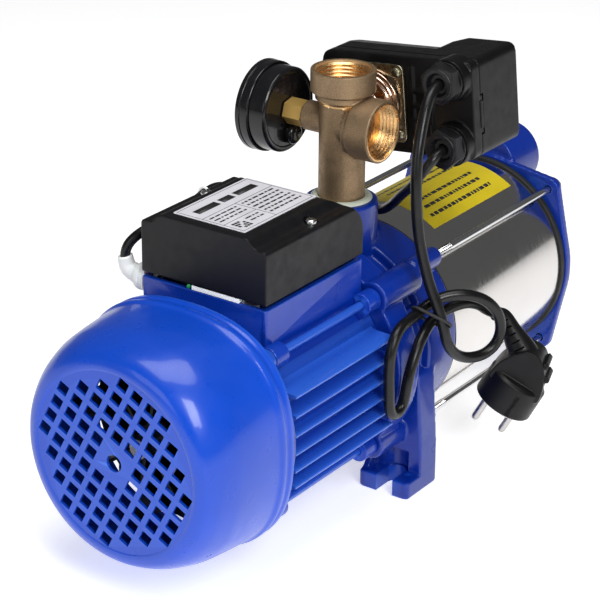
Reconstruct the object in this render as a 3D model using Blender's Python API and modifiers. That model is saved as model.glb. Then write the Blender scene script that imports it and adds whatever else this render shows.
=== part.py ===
"""Shallow well jet pump: motor, bracket, stainless pump barrel, brass manifold, gauge,
pressure switch and mains lead. Metres, +Z up, +X along the shaft from the fan cover to the
suction port. The feet stand on z = 0."""
import bpy
import bmesh
import math
from mathutils import Matrix, Vector

MM = 0.001

# ---- driving dimensions, in millimetres -------------------------------------------------
SHAFT_Z = 86.4          # height of the shaft over the feet
X_FRONT = -213.4        # front face of the fan cover
X_RIM = -143.2          # rear rim of the fan cover
X_MOTOR_END = -32.4     # motor housing meets the bracket
X_FLANGE = 7.4          # motor side of the pump flange
X_BARREL = 38.4         # pump flange meets the barrel gasket
X_BARREL_END = 171.2    # barrel meets the suction cover gasket
X_COVER = 175.8         # suction cover's front face
X_MOUTH = 213.4         # suction port mouth
R_BARREL = 65.0
R_RIM = 75.2            # mean radius of the fan cover's rim
SQUARE = 0.034          # how far the rounded-square sections swell at their corners
BOLT_Y = 49.0           # motor through bolts
BOLT_Z = 48.0
ROD_Y = 50.0            # barrel tie bolts
ROD_Z = 53.4
BOLT_R = math.hypot(BOLT_Y, BOLT_Z)
ROD_R = math.hypot(ROD_Y, ROD_Z)
CORNERS = ((-1, 1), (1, 1), (-1, -1), (1, -1))
BOLT_HOLE = 2.9         # clearance round the bolts
BOLT_SHANK = 2.5
GRID = 10.58            # pitch of the fan grille
HOLE = 7.1              # its square holes
GRID_DEG = 26.9         # its tilt
OUT_X = 6.7             # outlet boss and brass manifold axis
PORT_Z = 223.0          # side port and gauge port height
TOP_Z = 257.0           # top of the manifold
SUCTION_Z = 145.0       # suction port height
SUCTION_END = 191.0     # its inner end
PLATE = 5.6             # thickness of the suction cover's plate
PLATE_R = 67.8
EAR_R = 7.6
LID_SCREW_X = -79.0     # terminal cover screws
LID_SCREW_Y = 37.0
GLAND_X = -122.6        # gland on the terminal box
GLAND_Z = 155.2
SW_Z = 227.6            # pressure switch axis height
SW_TILT = -6.0          # its turn about its port
STAGES = 3
STAGE_X = 26.0          # first stage
STAGE_L = 24.0
GAP = 0.3
CORD_R = 3.4
LINK_R = 3.0
# sides of round shapes, by their size
ROUND = 36
MEDIUM = 24
SMALL = 18
FINE = 12
TINY = 8

for _o in list(bpy.data.objects):
    bpy.data.objects.remove(_o, do_unlink=True)

SCENE = bpy.context.scene
PARTS = bpy.data.collections.new("shallow_well_jet_pump")
SCENE.collection.children.link(PARTS)
CUTS = bpy.data.collections.new("cutters")
CUTS.hide_render = True
SCENE.collection.children.link(CUTS)

AXES = {
    "Z": Matrix.Identity(4),
    "X": Matrix.Rotation(math.radians(90), 4, "Y"),
    "Y": Matrix.Rotation(math.radians(-90), 4, "X"),
}


# ---- materials --------------------------------------------------------------------------
def material(name, colour, roughness, metallic):
    m = bpy.data.materials.new(name)
    m.use_nodes = True
    b = m.node_tree.nodes["Principled BSDF"]
    b.inputs["Base Color"].default_value = (*colour, 1.0)
    b.inputs["Roughness"].default_value = roughness
    b.inputs["Metallic"].default_value = metallic
    return m


BLUE = ((0.012, 0.055, 0.55), 0.25, 0.0)
BLACK = ((0.012, 0.012, 0.014), 0.45, 0.0)
STEEL = ((0.55, 0.55, 0.56), 0.3, 1.0)
CHROME = ((0.75, 0.75, 0.76), 0.12, 1.0)
BRASS = ((0.45, 0.31, 0.15), 0.4, 1.0)
COPPER = ((0.6, 0.2, 0.07), 0.35, 1.0)
RUBBER = ((0.015, 0.015, 0.015), 0.7, 0.0)
WHITE = ((0.8, 0.8, 0.78), 0.5, 0.0)
GREY = ((0.35, 0.35, 0.36), 0.5, 0.0)
GLASS = ((0.9, 0.92, 0.93), 0.05, 0.0)


# ---- building helpers, all sizes in millimetres --------------------------------------------
def add(name, mesh, coll=PARTS):
    o = bpy.data.objects.new(name, mesh)
    coll.objects.link(o)
    if coll is CUTS:
        o.display_type = "WIRE"
    return o


def finish(o, look, smooth=True):
    m = material(o.name, *look)
    o.data.materials.clear()
    o.data.materials.append(m)
    if smooth and len(o.data.polygons):
        o.data.shade_smooth()
        o.data.set_sharp_from_angle(angle=math.radians(32))
    return o


def pivot(o, at):
    """Puts the object's origin at a point on its joint's axis, and leaves the shape in place."""
    move = Vector(at) * MM - o.matrix_world.translation
    shift = o.matrix_world.to_3x3().inverted() @ move
    o.data.transform(Matrix.Translation(-shift))
    o.matrix_world.translation = Vector(at) * MM


def box(name, x, y, z, coll=PARTS, turn=None, about=(0, 0, 0)):
    bm = bmesh.new()
    bmesh.ops.create_cube(bm, size=1.0)
    size = Matrix.Diagonal((abs(x[1] - x[0]) * MM, abs(y[1] - y[0]) * MM, abs(z[1] - z[0]) * MM, 1))
    mid = Vector(((x[0] + x[1]) / 2, (y[0] + y[1]) / 2, (z[0] + z[1]) / 2)) * MM
    m = Matrix.Translation(mid) @ size
    if turn is not None:
        p = Matrix.Translation(Vector(about) * MM)
        m = p @ turn @ p.inverted() @ m
    bm.transform(m)
    mesh = bpy.data.meshes.new(name)
    bm.to_mesh(mesh)
    bm.free()
    return add(name, mesh, coll)


def frame_to(at, axis):
    """Matrix taking +Z to the axis at a point."""
    if isinstance(axis, str):
        rot = AXES[axis].to_3x3().to_4x4()
    else:
        rot = Vector((0, 0, 1)).rotation_difference(Vector(axis).normalized()).to_matrix().to_4x4()
    return Matrix.Translation(Vector(at) * MM) @ rot


def rod(name, at, axis, length, r, segs=24, r2=None, coll=PARTS):
    """Cylinder or cone that starts at a point and runs along an axis."""
    bm = bmesh.new()
    bmesh.ops.create_cone(bm, cap_ends=True, cap_tris=False, segments=segs, radius1=r * MM,
                          radius2=(r if r2 is None else r2) * MM, depth=length * MM)
    bm.transform(frame_to(at, axis) @ Matrix.Translation((0, 0, length * MM / 2)))
    mesh = bpy.data.meshes.new(name)
    bm.to_mesh(mesh)
    bm.free()
    return add(name, mesh, coll)


def turned(name, prof, at=(0, 0, 0), axis="X", segs=48, coll=PARTS):
    """Solid of revolution. prof holds (distance along the axis, radius) points of a closed
    section, or of a half section that starts and ends on the axis."""
    ring = prof[0][1] > 0
    area = sum(p[0] * q[1] - q[0] * p[1] for p, q in zip(prof, prof[1:] + prof[:1]))
    if area < 0:
        prof = prof[::-1]
    mesh = bpy.data.meshes.new(name)
    count = len(prof)
    edges = [(i, (i + 1) % count) for i in range(count if ring else count - 1)]
    mesh.from_pydata([(r * MM, 0, h * MM) for h, r in prof], edges, [])
    o = add(name, mesh, coll)
    o.matrix_world = frame_to(at, axis)
    m = o.modifiers.new("turn", "SCREW")
    m.axis = "Z"
    m.steps = segs
    m.render_steps = segs
    m.use_merge_vertices = True
    m.merge_threshold = 0.00001
    m.use_smooth_shade = True
    return o


PLANES = {
    "XY": Matrix.Identity(4),
    "YZ": Matrix(((0, 0, 1, 0), (1, 0, 0, 0), (0, 1, 0, 0), (0, 0, 0, 1))),
    "XZ": Matrix(((1, 0, 0, 0), (0, 0, -1, 0), (0, 1, 0, 0), (0, 0, 0, 1))),
}


def prism(name, pts, plane, lo, hi, coll=PARTS, matrix=None):
    """Flat outline given depth. Plane YZ runs along X, XZ along Y and XY along Z."""
    c = bpy.data.curves.new(name + "_outline", "CURVE")
    c.dimensions = "2D"
    c.fill_mode = "BOTH"
    c.extrude = (hi - lo) / 2 * MM
    line = c.splines.new("POLY")
    line.points.add(len(pts) - 1)
    for q, (u, v) in zip(line.points, pts):
        q.co = (u * MM, v * MM, 0, 1)
    line.use_cyclic_u = True
    guide = bpy.data.objects.new(name + "_outline", c)
    SCENE.collection.objects.link(guide)
    depth = (lo + hi) / 2 * MM * (-1 if plane == "XZ" else 1)
    put = PLANES[plane] @ Matrix.Translation((0, 0, depth))
    if matrix is not None:
        put = matrix @ put
    mesh = solid_mesh(guide, name)
    bpy.data.objects.remove(guide, do_unlink=True)
    o = add(name, mesh, coll)
    o.matrix_world = put
    return o


def solid_mesh(o, name):
    """The evaluated object as one closed mesh."""
    bpy.context.view_layer.update()
    mesh = bpy.data.meshes.new_from_object(o.evaluated_get(bpy.context.evaluated_depsgraph_get()))
    mesh.name = name
    bm = bmesh.new()
    bm.from_mesh(mesh)
    bmesh.ops.remove_doubles(bm, verts=bm.verts, dist=0.000001)
    bmesh.ops.recalc_face_normals(bm, faces=bm.faces)
    bm.to_mesh(mesh)
    bm.free()
    return mesh


# pieces whose many crossing hollows need the manifold solver
INTRICATE = ("bracket", "motor_housing", "suction_cover", "plug_body")


def combine(o, tool, how="DIFFERENCE"):
    m = o.modifiers.new(tool.name, "BOOLEAN")
    m.operation = how
    m.solver = "MANIFOLD" if o.name in INTRICATE else "EXACT"
    m.object = tool
    if tool.name not in CUTS.objects:
        PARTS.objects.unlink(tool)
        CUTS.objects.link(tool)
        tool.display_type = "WIRE"
    return m


def join(o, *tools):
    for t in tools:
        combine(o, t, "UNION")


def cut(o, *tools):
    for t in tools:
        combine(o, t, "DIFFERENCE")


def rounded(x0, x1, y0, y1, r, n=4):
    pts = []
    for cx, cy, a0 in ((x1 - r, y1 - r, 0), (x0 + r, y1 - r, 90), (x0 + r, y0 + r, 180),
                       (x1 - r, y0 + r, 270)):
        for i in range(n + 1):
            a = math.radians(a0 + 90 * i / n)
            pts.append((cx + r * math.cos(a), cy + r * math.sin(a)))
    return pts


def hexagon(name, at, axis, length, flats, coll=PARTS, phase=0.0):
    bm = bmesh.new()
    bmesh.ops.create_cone(bm, cap_ends=True, cap_tris=False, segments=6,
                          radius1=flats / math.sqrt(3) * MM,
                          radius2=flats / math.sqrt(3) * MM, depth=length * MM)
    bm.transform(frame_to(at, axis) @ Matrix.Rotation(math.radians(phase), 4, "Z")
                 @ Matrix.Translation((0, 0, length * MM / 2)))
    mesh = bpy.data.meshes.new(name)
    bm.to_mesh(mesh)
    bm.free()
    return add(name, mesh, coll)


def smooth_path(pts, step):
    """Points at an even step along a Catmull-Rom curve through the route."""
    p = [Vector(q) for q in pts]
    p = [2 * p[0] - p[1]] + p + [2 * p[-1] - p[-2]]
    fine = []
    for i in range(1, len(p) - 2):
        for k in range(24):
            t = k / 24
            a, b, c, d = p[i - 1], p[i], p[i + 1], p[i + 2]
            fine.append(0.5 * ((2 * b) + (c - a) * t + (2 * a - 5 * b + 4 * c - d) * t * t
                               + (3 * b - a - 3 * c + d) * t * t * t))
    fine.append(p[-2])
    total = sum((fine[i + 1] - fine[i]).length for i in range(len(fine) - 1))
    n = max(2, round(total / step))
    out = [fine[0]]
    want = total / n
    run = 0.0
    for i in range(len(fine) - 1):
        seg = (fine[i + 1] - fine[i]).length
        while run + seg >= want * len(out) - 1e-9 and len(out) < n:
            out.append(fine[i].lerp(fine[i + 1], (want * len(out) - run) / seg))
        run += seg
    out.append(fine[-1])
    return out


def tube(name, pts, r, step, res=2):
    c = bpy.data.curves.new(name, "CURVE")
    c.dimensions = "3D"
    c.bevel_depth = r * MM
    c.bevel_resolution = res
    c.use_fill_caps = True
    s = c.splines.new("POLY")
    path = smooth_path(pts, step)
    s.points.add(len(path) - 1)
    for q, v in zip(s.points, path):
        q.co = (v.x * MM, v.y * MM, v.z * MM, 1)
    o = bpy.data.objects.new(name, c)
    PARTS.objects.link(o)
    c.materials.append(material(name, *BLACK))
    return o


# ==== motor ==================================================================================
# fan cover: a lofted cup with a rounded-square rim and a square-hole grille in its face
def loft_cup(name, outer, inner, segs=ROUND):
    bm = bmesh.new()

    def ring(x, r, s):
        row = []
        for i in range(segs):
            a = 2 * math.pi * i / segs
            k = r * (1 - s * math.cos(4 * a))
            row.append(bm.verts.new((x * MM, k * math.cos(a) * MM, (SHAFT_Z + k * math.sin(a)) * MM)))
        return row

    rows = [ring(*p) for p in outer] + [ring(*p) for p in reversed(inner)]
    bm.faces.new(rows[0])
    bm.faces.new(rows[-1])
    for j in range(len(rows) - 1):
        for i in range(segs):
            k = (i + 1) % segs
            bm.faces.new((rows[j][i], rows[j][k], rows[j + 1][k], rows[j + 1][i]))
    bmesh.ops.recalc_face_normals(bm, faces=bm.faces)
    mesh = bpy.data.meshes.new(name)
    bm.to_mesh(mesh)
    bm.free()
    return add(name, mesh)


COVER_OUT = [(X_FRONT, 57.6, 0.0), (-212.2, 61.0, 0.0), (-208.6, 64.8, 0.006), (-202.0, 68.2, 0.013),
             (-190.0, 71.4, 0.021), (-154.0, 74.0, 0.032), (-151.6, R_RIM + 0.1, SQUARE),
             (X_RIM, R_RIM, SQUARE)]
COVER_IN = [(-211.5, 56.6, 0.0), (-207.4, 62.8, 0.006), (-201.0, 66.4, 0.013), (-189.0, 69.6, 0.021),
            (-154.0, 72.1, 0.032), (X_RIM, R_RIM - 2.3, SQUARE)]
fan_cover = loft_cup("fan_cover", COVER_OUT, COVER_IN)
grille = bpy.data.meshes.new("grille_holes")
gb = bmesh.new()
for i in range(-5, 5):
    for j in range(-5, 5):
        u, v = i + 0.5, j + 0.5
        if math.hypot(u, v) > 4.9 or (abs(u) < 1 and abs(v) < 1):
            continue
        t = math.radians(GRID_DEG)
        y = (-math.cos(t) * u + math.sin(t) * v) * GRID
        z = (-math.sin(t) * u - math.cos(t) * v) * GRID
        m = (Matrix.Translation(Vector((X_FRONT, y, SHAFT_Z + z)) * MM) @ Matrix.Rotation(t, 4, "X")
             @ Matrix.Diagonal((8 * MM, HOLE * MM, HOLE * MM, 1)))
        bmesh.ops.create_cube(gb, size=1.0, matrix=m)
gb.to_mesh(grille)
gb.free()
grille_holes = add("grille_holes", grille, CUTS)
centre_hole = rod("centre_hole", (X_FRONT - 4, 0, SHAFT_Z), "X", 8, 5.2, FINE, coll=CUTS)
cut(fan_cover, grille_holes, centre_hole)
finish(fan_cover, BLUE)

# motor housing: bore for the stator, parallel side fins and the terminal box pedestal
HOUSING_R = 61.0
BORE_R = 56.3
HX0, HX1 = -137.0, X_MOTOR_END
housing = turned("motor_housing", [(HX1, 0), (HX1, HOUSING_R), (HX0, HOUSING_R), (HX0, 0)],
                 at=(0, 0, SHAFT_Z), segs=ROUND)


def fin_block(name, zc, half, y_in, y_out, side, x0=HX0 + 0.01, x1=-37.0):
    return box(name, (x0, x1), sorted((side * y_in, side * y_out)),
               (SHAFT_Z + zc - half, SHAFT_Z + zc + half), CUTS)


FIN_Z = (30.0, 17.6, 5.6, -5.8, -16.6, -26.6)
for n, zc in enumerate(FIN_Z):
    for side in (-1, 1):
        join(housing, fin_block("fin_%d_%s" % (n, "lr"[side > 0]), zc, 1.1, 50.0, 69.0, side))
# vertical fins under the housing and flanks for the through bolts at its corners
for n, yc in enumerate((-30.0, -15.0, 0.0, 15.0, 30.0)):
    join(housing, box("fin_low_%d" % n, (HX0 + 0.01, -37.0), (yc - 1.1, yc + 1.1),
                      (SHAFT_Z - 67.5, SHAFT_Z - math.sqrt(HOUSING_R ** 2 - yc ** 2) + 3), CUTS))
for n, (sy, sz) in enumerate(CORNERS):
    turn = Matrix.Rotation(math.atan2(sz * BOLT_Z, sy * BOLT_Y), 4, "X")
    for end, x0 in (("rear", HX0), ("front", HX1 - 12.0)):
        join(housing, box("lug_web_%s_%d" % (end, n), (x0, x0 + 12.0), (56.0, BOLT_R),
                          (SHAFT_Z - 6.5, SHAFT_Z + 6.5),
                          CUTS, turn=turn, about=(0, 0, SHAFT_Z)))
        join(housing,
             rod("lug_%s_%d" % (end, n), (x0, sy * BOLT_Y, SHAFT_Z + sz * BOLT_Z), "X", 12.0, 7.0, 16,
                          coll=CUTS))
# pedestal with its hollow for the wiring
join(housing, box("pedestal", (-131.7, -34.9), (-44, 44), (SHAFT_Z + 30, 160.0), CUTS))
cut(housing, box("pedestal_hollow", (-128.7, -37.9), (-41, 41), (150.5, 162), CUTS))
cut(housing, rod("motor_bore", (HX0 - 5, 0, SHAFT_Z), "X", HX1 - HX0 + 10, BORE_R, ROUND, coll=CUTS))
for n, (sy, sz) in enumerate(CORNERS):
    cut(housing, rod("bolt_way_%d" % n, (HX0 - 2, sy * BOLT_Y, SHAFT_Z + sz * BOLT_Z), "X", HX1 - HX0 + 6,
                     3.0, TINY,
                     coll=CUTS))
cut(housing, rod("gland_way", (GLAND_X, 38, GLAND_Z), "Y", 8, 4.4, TINY, coll=CUTS))
finish(housing, BLUE)

# rear shield with the rear bearing's seat
shield = turned("rear_shield",
                [(HX0 - GAP, 69.5), (-142.0, 69.5), (-142.0, 24.0), (-146.0, 22.0), (-146.0, 8.8),
                                (-143.5, 8.8), (-143.5, 17.8), (HX0 - 4, 17.8), (HX0 - GAP, 17.8)],
                at=(0, 0, SHAFT_Z), segs=ROUND)
for n, (sy, sz) in enumerate(CORNERS):
    join(shield, rod("shield_ear_%d" % n, (-142.0, sy * BOLT_Y, SHAFT_Z + sz * BOLT_Z), "X", 4.7, 6.5,
                     TINY, coll=CUTS))
for n, (sy, sz) in enumerate(CORNERS):
    cut(shield,
        rod("shield_hole_%d" % n, (-146.0, sy * BOLT_Y, SHAFT_Z + sz * BOLT_Z), "X", 12, BOLT_HOLE, TINY,
                    coll=CUTS))
finish(shield, BLUE)

for n, (sy, sz) in enumerate(CORNERS):
    at = (-142.3, sy * BOLT_Y, SHAFT_Z + sz * BOLT_Z)
    b = rod("through_bolt_%d" % (n + 1), at, "X", 142.3 - 12.0, BOLT_SHANK, TINY)
    join(b, hexagon("through_head_%d" % (n + 1), (-145.8, at[1], at[2]), "X", 3.5, 8.0, CUTS))
    finish(b, BLUE)

# stator: laminated core with six open slots for the windings
ST0, ST1 = -110.0, -64.0
stator = turned("stator_core", [(ST1, 56.0), (ST0, 56.0), (ST0, 35.2), (ST1, 35.2)], at=(0, 0, SHAFT_Z),
                segs=MEDIUM)
for k in range(6):
    turn = Matrix.Rotation(math.radians(60 * k), 4, "X")
    cut(stator, box("slot_%d" % k, (ST0 - 2, ST1 + 2), (37.8, 46.3), (SHAFT_Z - 5.3, SHAFT_Z + 5.3), CUTS,
                    turn=turn, about=(0, 0, SHAFT_Z)))
finish(stator, STEEL)
winding = turned("stator_winding",
                 [(ST0 - GAP, 50.0), (ST0 - 16, 48.0), (ST0 - 16, 40.0), (ST0 - GAP, 38.1)],
                 at=(0, 0, SHAFT_Z), segs=MEDIUM)
join(winding,
     turned("winding_front", [(ST1 + 14, 48.0), (ST1 + GAP, 50.0), (ST1 + GAP, 38.1), (ST1 + 14, 40.0)],
                     at=(0, 0, SHAFT_Z), segs=MEDIUM, coll=CUTS))
for k in range(6):
    turn = Matrix.Rotation(math.radians(60 * k), 4, "X")
    join(winding,
         box("bar_%d" % k, (ST0 - 2, ST1 + 2), (38.2, 46.0), (SHAFT_Z - 5.0, SHAFT_Z + 5.0), CUTS,
                      turn=turn, about=(0, 0, SHAFT_Z)))
finish(winding, COPPER)

# turning group: shaft, rotor, fan, seal head, impellers, nut
shaft = turned("shaft", [(106.0, 0), (106.0, 4.0), (95.7, 4.0), (95.7, 6.0), (-20.0, 6.0), (-20.0, 7.4),
                         (-34.0, 7.4),
                         (-34.0, 9.5), (-133.0, 9.5), (-133.0, 7.4), (-147.5, 7.4), (-147.5, 6.0),
                         (-192.0, 6.0),
                         (-192.0, 0)],
               at=(0, 0, SHAFT_Z), segs=FINE)
finish(shaft, STEEL)
rotor = turned("rotor_core",
               [(-66.0, 14.0), (-66.0, 34.7), (-108.0, 34.7), (-108.0, 14.0), (-110.0, 14.0),
                              (-110.0, 9.8), (-64.0, 9.8), (-64.0, 14.0)],
               at=(0, 0, SHAFT_Z), segs=MEDIUM)
finish(rotor, STEEL)
fan = turned("cooling_fan", [(-154.0, 16.0), (-157.0, 56.0), (-159.0, 56.0), (-157.0, 16.0),
                             (-176.0, 13.0), (-176.0, 6.3),
                             (-154.0, 6.3)],
             at=(0, 0, SHAFT_Z), segs=SMALL)
for k in range(8):
    turn = Matrix.Rotation(math.radians(45 * k + 10), 4, "X")
    join(fan, box("blade_%d" % k, (-184.0, -156.5), (10.0, 56.5), (SHAFT_Z - 1.0, SHAFT_Z + 1.0), CUTS,
                  turn=turn, about=(0, 0, SHAFT_Z)))
finish(fan, BLACK)

bearing_rear = turned("bearing_rear", [(-137.6, 17.5), (-143.2, 17.5), (-143.2, 7.7), (-137.6, 7.7)],
                      at=(0, 0, SHAFT_Z), segs=SMALL)
finish(bearing_rear, CHROME)
bearing_front = turned("bearing_front", [(-22.5, 17.5), (-32.0, 17.5), (-32.0, 7.7), (-22.5, 7.7)],
                       at=(0, 0, SHAFT_Z), segs=SMALL)
finish(bearing_front, CHROME)

# terminal box
def s_step(u0, v0, u1, v1, n=5):
    pts = []
    for i in range(n + 1):
        t = i / n
        pts.append((u0 + (u1 - u0) * t, v0 + (v1 - v0) * (3 * t * t - 2 * t ** 3)))
    return pts


def lid_solid(name, inset, coll):
    y1 = 44.0 - inset
    lo = 163.0 - (3.0 if inset else 0.0)
    half = ([(y1, lo), (y1, 193.0 - inset), (y1 - 0.6, 194.4 - inset), (y1 - 1.8, 195.0 - inset)]
            + s_step(38.5 - inset * 0.6, 195.1 - inset, 28.0, 200.6 - inset))
    side = half + [(-u, v) for u, v in reversed(half)]
    a = prism(name, side, "YZ", -131.7 + inset, -34.9 - inset, coll)
    x1 = -34.9 - inset
    crown = [(-62.0, 200.8), (-56.0, 200.0), (-50.0, 197.8), (-45.0, 194.6), (-41.0, 191.0),
             (-38.0, 187.4), (-36.2, 184.0), (-35.2, 180.5), (-34.9, 177.0)]
    end = [(-140.0, lo - 1), (-140.0, 215.0), (-62.0 - inset, 215.0)]
    end += [(u - inset, v - inset) for u, v in crown]
    end.append((x1, lo - 1))
    b = prism(name + "_end", end, "XZ", -60, 60, CUTS)
    combine(a, b, "INTERSECT")
    return a


lid = lid_solid("terminal_cover", 0.0, PARTS)
hollow = lid_solid("lid_hollow", 2.4, CUTS)
cut(lid, hollow)
for n, sy in enumerate((-1, 1)):
    cut(lid,
        rod("screw_pocket_%d" % n, (LID_SCREW_X, sy * LID_SCREW_Y, 194.6), "Z", 12, 4.4, FINE, coll=CUTS))
    cut(lid,
        rod("screw_hole_%d" % n, (LID_SCREW_X, sy * LID_SCREW_Y, 185.0), "Z", 20, 2.4, FINE, coll=CUTS))
finish(lid, BLACK)
for n, sy in enumerate((-1, 1)):
    s = turned("lid_screw_%d" % (n + 1),
               [(197.3, 0), (197.3, 2.4), (196.4, 3.6), (194.9, 3.7), (194.9, 1.9), (186.0, 1.9),
                                          (186.0, 0)], at=(LID_SCREW_X, sy * LID_SCREW_Y, 0), axis="Z",
               segs=TINY)
    finish(s, CHROME)
block = box("terminal_block", (-128.0, -112.0), (-26.0, 8.0), (151.2, 168.0))
finish(block, WHITE, smooth=False)
cap = turned("run_capacitor",
             [(-46.0, 0), (-46.0, 15.5), (-48.0, 17.0), (-104.0, 17.0), (-106.0, 15.5), (-106.0, 0)],
             at=(0, 12, 175.5), segs=SMALL)
finish(cap, GREY)

# ==== bracket =================================================================================
bracket = turned("bracket", [(X_BARREL, 0), (X_BARREL, 66.2), (X_FLANGE + 1.2, 66.2), (X_FLANGE, 65.0),
                             (X_FLANGE, 60.0),
                             (-11.2, 60.0), (-11.2, 70.6), (-31.2, 70.6), (-32.0, 69.8), (-32.0, 0)],
                 at=(0, 0, SHAFT_Z), segs=ROUND)
for n, (sy, sz) in enumerate(CORNERS):
    tag = "abcd"[n]
    join(bracket, rod("boss_" + tag, (-31.8, sy * BOLT_Y, SHAFT_Z + sz * BOLT_Z), "X", 41.0, 10.0, FINE,
                      coll=CUTS))
    ang = math.atan2(sz * ROD_Z, sy * ROD_Y)
    turn = Matrix.Rotation(ang, 4, "X")
    join(bracket, box("rod_web_" + tag, (X_FLANGE, 36.0), (56.0, ROD_R),
                      (SHAFT_Z - 6.5, SHAFT_Z + 6.5), CUTS, turn=turn, about=(0, 0, SHAFT_Z)))
    join(bracket, rod("rod_lug_" + tag, (X_FLANGE, sy * ROD_Y, SHAFT_Z + sz * ROD_Z), "X", 28.6, 6.5,
                      FINE, coll=CUTS))
# wall and feet
wall = [(-70, 0.4), (-69.6, 30), (-66, 78), (-40, 84), (40, 84), (66, 78), (69.6, 30), (70, 0.4),
        (36, 0.4), (34.4, 10.0),
        (26, 19), (16, 24), (-16, 24), (-26, 19), (-34.4, 10.0), (-36, 0.4)]
join(bracket, prism("foot_wall", wall, "YZ", -4.6, 14.0, CUTS))
for sy in (-1, 1):
    pad = rounded(-19.3, 14.1, 34.0, 70.0, 3.0, 3)
    join(bracket, prism("pad_%s" % "ab"[sy > 0], [(x, sy * y) for x, y in pad], "XY", 0.0, 11.0, CUTS))
# outlet boss
join(bracket, turned("outlet_boss", [(175.6, 0), (175.6, 21.4), (174.4, 22.5), (120.0, 22.5), (120.0, 0)],
                     at=(OUT_X, 0, 0), axis="Z", segs=MEDIUM, coll=CUTS))
cut(bracket, rod("outlet_bore", (OUT_X, 0, 120), "Z", 60, 16.9, SMALL, coll=CUTS))
cut(bracket, turned("pump_chamber",
                    [(X_BARREL + 2, 0), (X_BARREL + 2, 60.8), (12.0, 60.8), (8.0, 54.0), (-10.0, 54.0),
                                     (-10.0, 0)], at=(0, 0, SHAFT_Z), segs=ROUND, coll=CUTS))
cut(bracket, turned("bearing_seat",
                    [(-8.0, 0), (-8.0, 13.9), (-22.2, 13.9), (-22.2, 17.8), (-34.0, 17.8), (-34.0, 0)],
                    at=(0, 0, SHAFT_Z), segs=SMALL, coll=CUTS))
cut(bracket,
    turned("dry_groove", [(-34.0, 55.0), (-24.0, 55.0), (-24.0, 24.0), (-34.0, 24.0)], at=(0, 0, SHAFT_Z),
                    segs=MEDIUM, coll=CUTS))
for sy in (-1, 1):
    slot = prism("slot_cut_%s" % "ab"[sy > 0],
                 [(-26, sy * 47)] + [(-6 + 6 * math.sin(math.radians(a)),
                                      sy * (53 - 6 * math.cos(math.radians(a))))
                                     for a in range(0, 181, 20)] + [(-26, sy * 59)], "XY", -2, 13, CUTS)
    cut(bracket, slot)
    cut(bracket,
        rod("washer_way_%s" % "ab"[sy > 0], (-8.0, sy * 53, 11.0), "Z", 14, 9.0, FINE, coll=CUTS))
for n, (sy, sz) in enumerate(CORNERS):
    tag = "abcd"[n]
    cut(bracket, rod("boss_hole_" + tag, (-34.0, sy * BOLT_Y, SHAFT_Z + sz * BOLT_Z), "X", 24.0,
                     BOLT_HOLE, TINY, coll=CUTS))
    cut(bracket, rod("rod_hole_" + tag, (14.0, sy * ROD_Y, SHAFT_Z + sz * ROD_Z), "X", 26.0, BOLT_HOLE,
                     TINY, coll=CUTS))
finish(bracket, BLUE)

# mechanical seal
seat = turned("seal_seat", [(-13.0, 13.5), (-21.8, 13.5), (-21.8, 8.2), (-13.0, 8.2)], at=(0, 0, SHAFT_Z),
              segs=SMALL)
finish(seat, WHITE)
head = turned("seal_head", [(12.0, 6.3), (12.0, 12.5), (9.0, 12.5), (7.6, 10.5), (-3.0, 10.5),
                            (-4.4, 12.8), (-12.6, 12.8),
                            (-12.6, 6.3)], at=(0, 0, SHAFT_Z), segs=FINE)
finish(head, RUBBER)

# ==== pump barrel, stages and ejector ==========================================================
barrel = turned("pump_barrel",
                [(X_BARREL_END, R_BARREL), (X_BARREL + 1.4, R_BARREL), (X_BARREL + 1.4, R_BARREL - 1.3),
                                (X_BARREL_END, R_BARREL - 1.3)], at=(0, 0, SHAFT_Z), segs=ROUND)
finish(barrel, STEEL)
gasket_a = turned("barrel_gasket_near",
                  [(X_BARREL + 1.1, 65.7), (X_BARREL + GAP, 65.7), (X_BARREL + GAP, 61.4),
                                         (X_BARREL + 1.1, 61.4)], at=(0, 0, SHAFT_Z), segs=ROUND)
finish(gasket_a, RUBBER)
gasket_b = turned("barrel_gasket_far",
                  [(X_COVER - GAP, 66.4), (X_BARREL_END + GAP, 66.4), (X_BARREL_END + GAP, 61.4),
                                        (X_COVER - GAP, 61.4)], at=(0, 0, SHAFT_Z), segs=ROUND)
finish(gasket_b, RUBBER)

for k in range(STAGES):
    x0 = STAGE_X + STAGE_L * k
    d = turned("diffuser_%d" % (k + 1),
               [(x0 + STAGE_L - GAP, 52.0), (x0, 52.0), (x0, 9.0), (x0 + 2.2, 9.0),
                                         (x0 + 2.2, 49.5), (x0 + STAGE_L - GAP, 49.5)],
               at=(0, 0, SHAFT_Z), segs=MEDIUM)
    for m in range(5):
        turn = Matrix.Rotation(math.radians(72 * m + 12), 4, "X")
        join(d, box("vane_%d_%d" % (k, m), (x0 + 1.5, x0 + 7.5), (22.0, 50.5),
                    (SHAFT_Z - 1.0, SHAFT_Z + 1.0), CUTS,
                    turn=turn, about=(0, 0, SHAFT_Z)))
    finish(d, GREY)
    xi = x0 + 8.6
    w = turned("impeller_%d" % (k + 1),
               [(xi + 13.6, 6.3), (xi + 13.6, 11.0), (xi + 2.2, 11.0), (xi + 2.2, 47.0),
                                         (xi, 47.0), (xi, 6.3)], at=(0, 0, SHAFT_Z), segs=MEDIUM)
    for m in range(6):
        t = math.radians(60 * m)
        arc = []
        for side in (0, 1):
            seq = range(4) if side == 0 else range(3, -1, -1)
            for s in seq:
                r = 13.0 + 33.0 * s / 3
                a = t + 0.9 * (s / 3) ** 1.2 + (side * 1.9) / r
                arc.append((r * math.cos(a), SHAFT_Z + r * math.sin(a)))
        join(w, prism("blade_%d_%d" % (k, m + 20), arc, "YZ", xi + 1.0, xi + 9.5, CUTS))
    finish(w, GREY)
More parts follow.
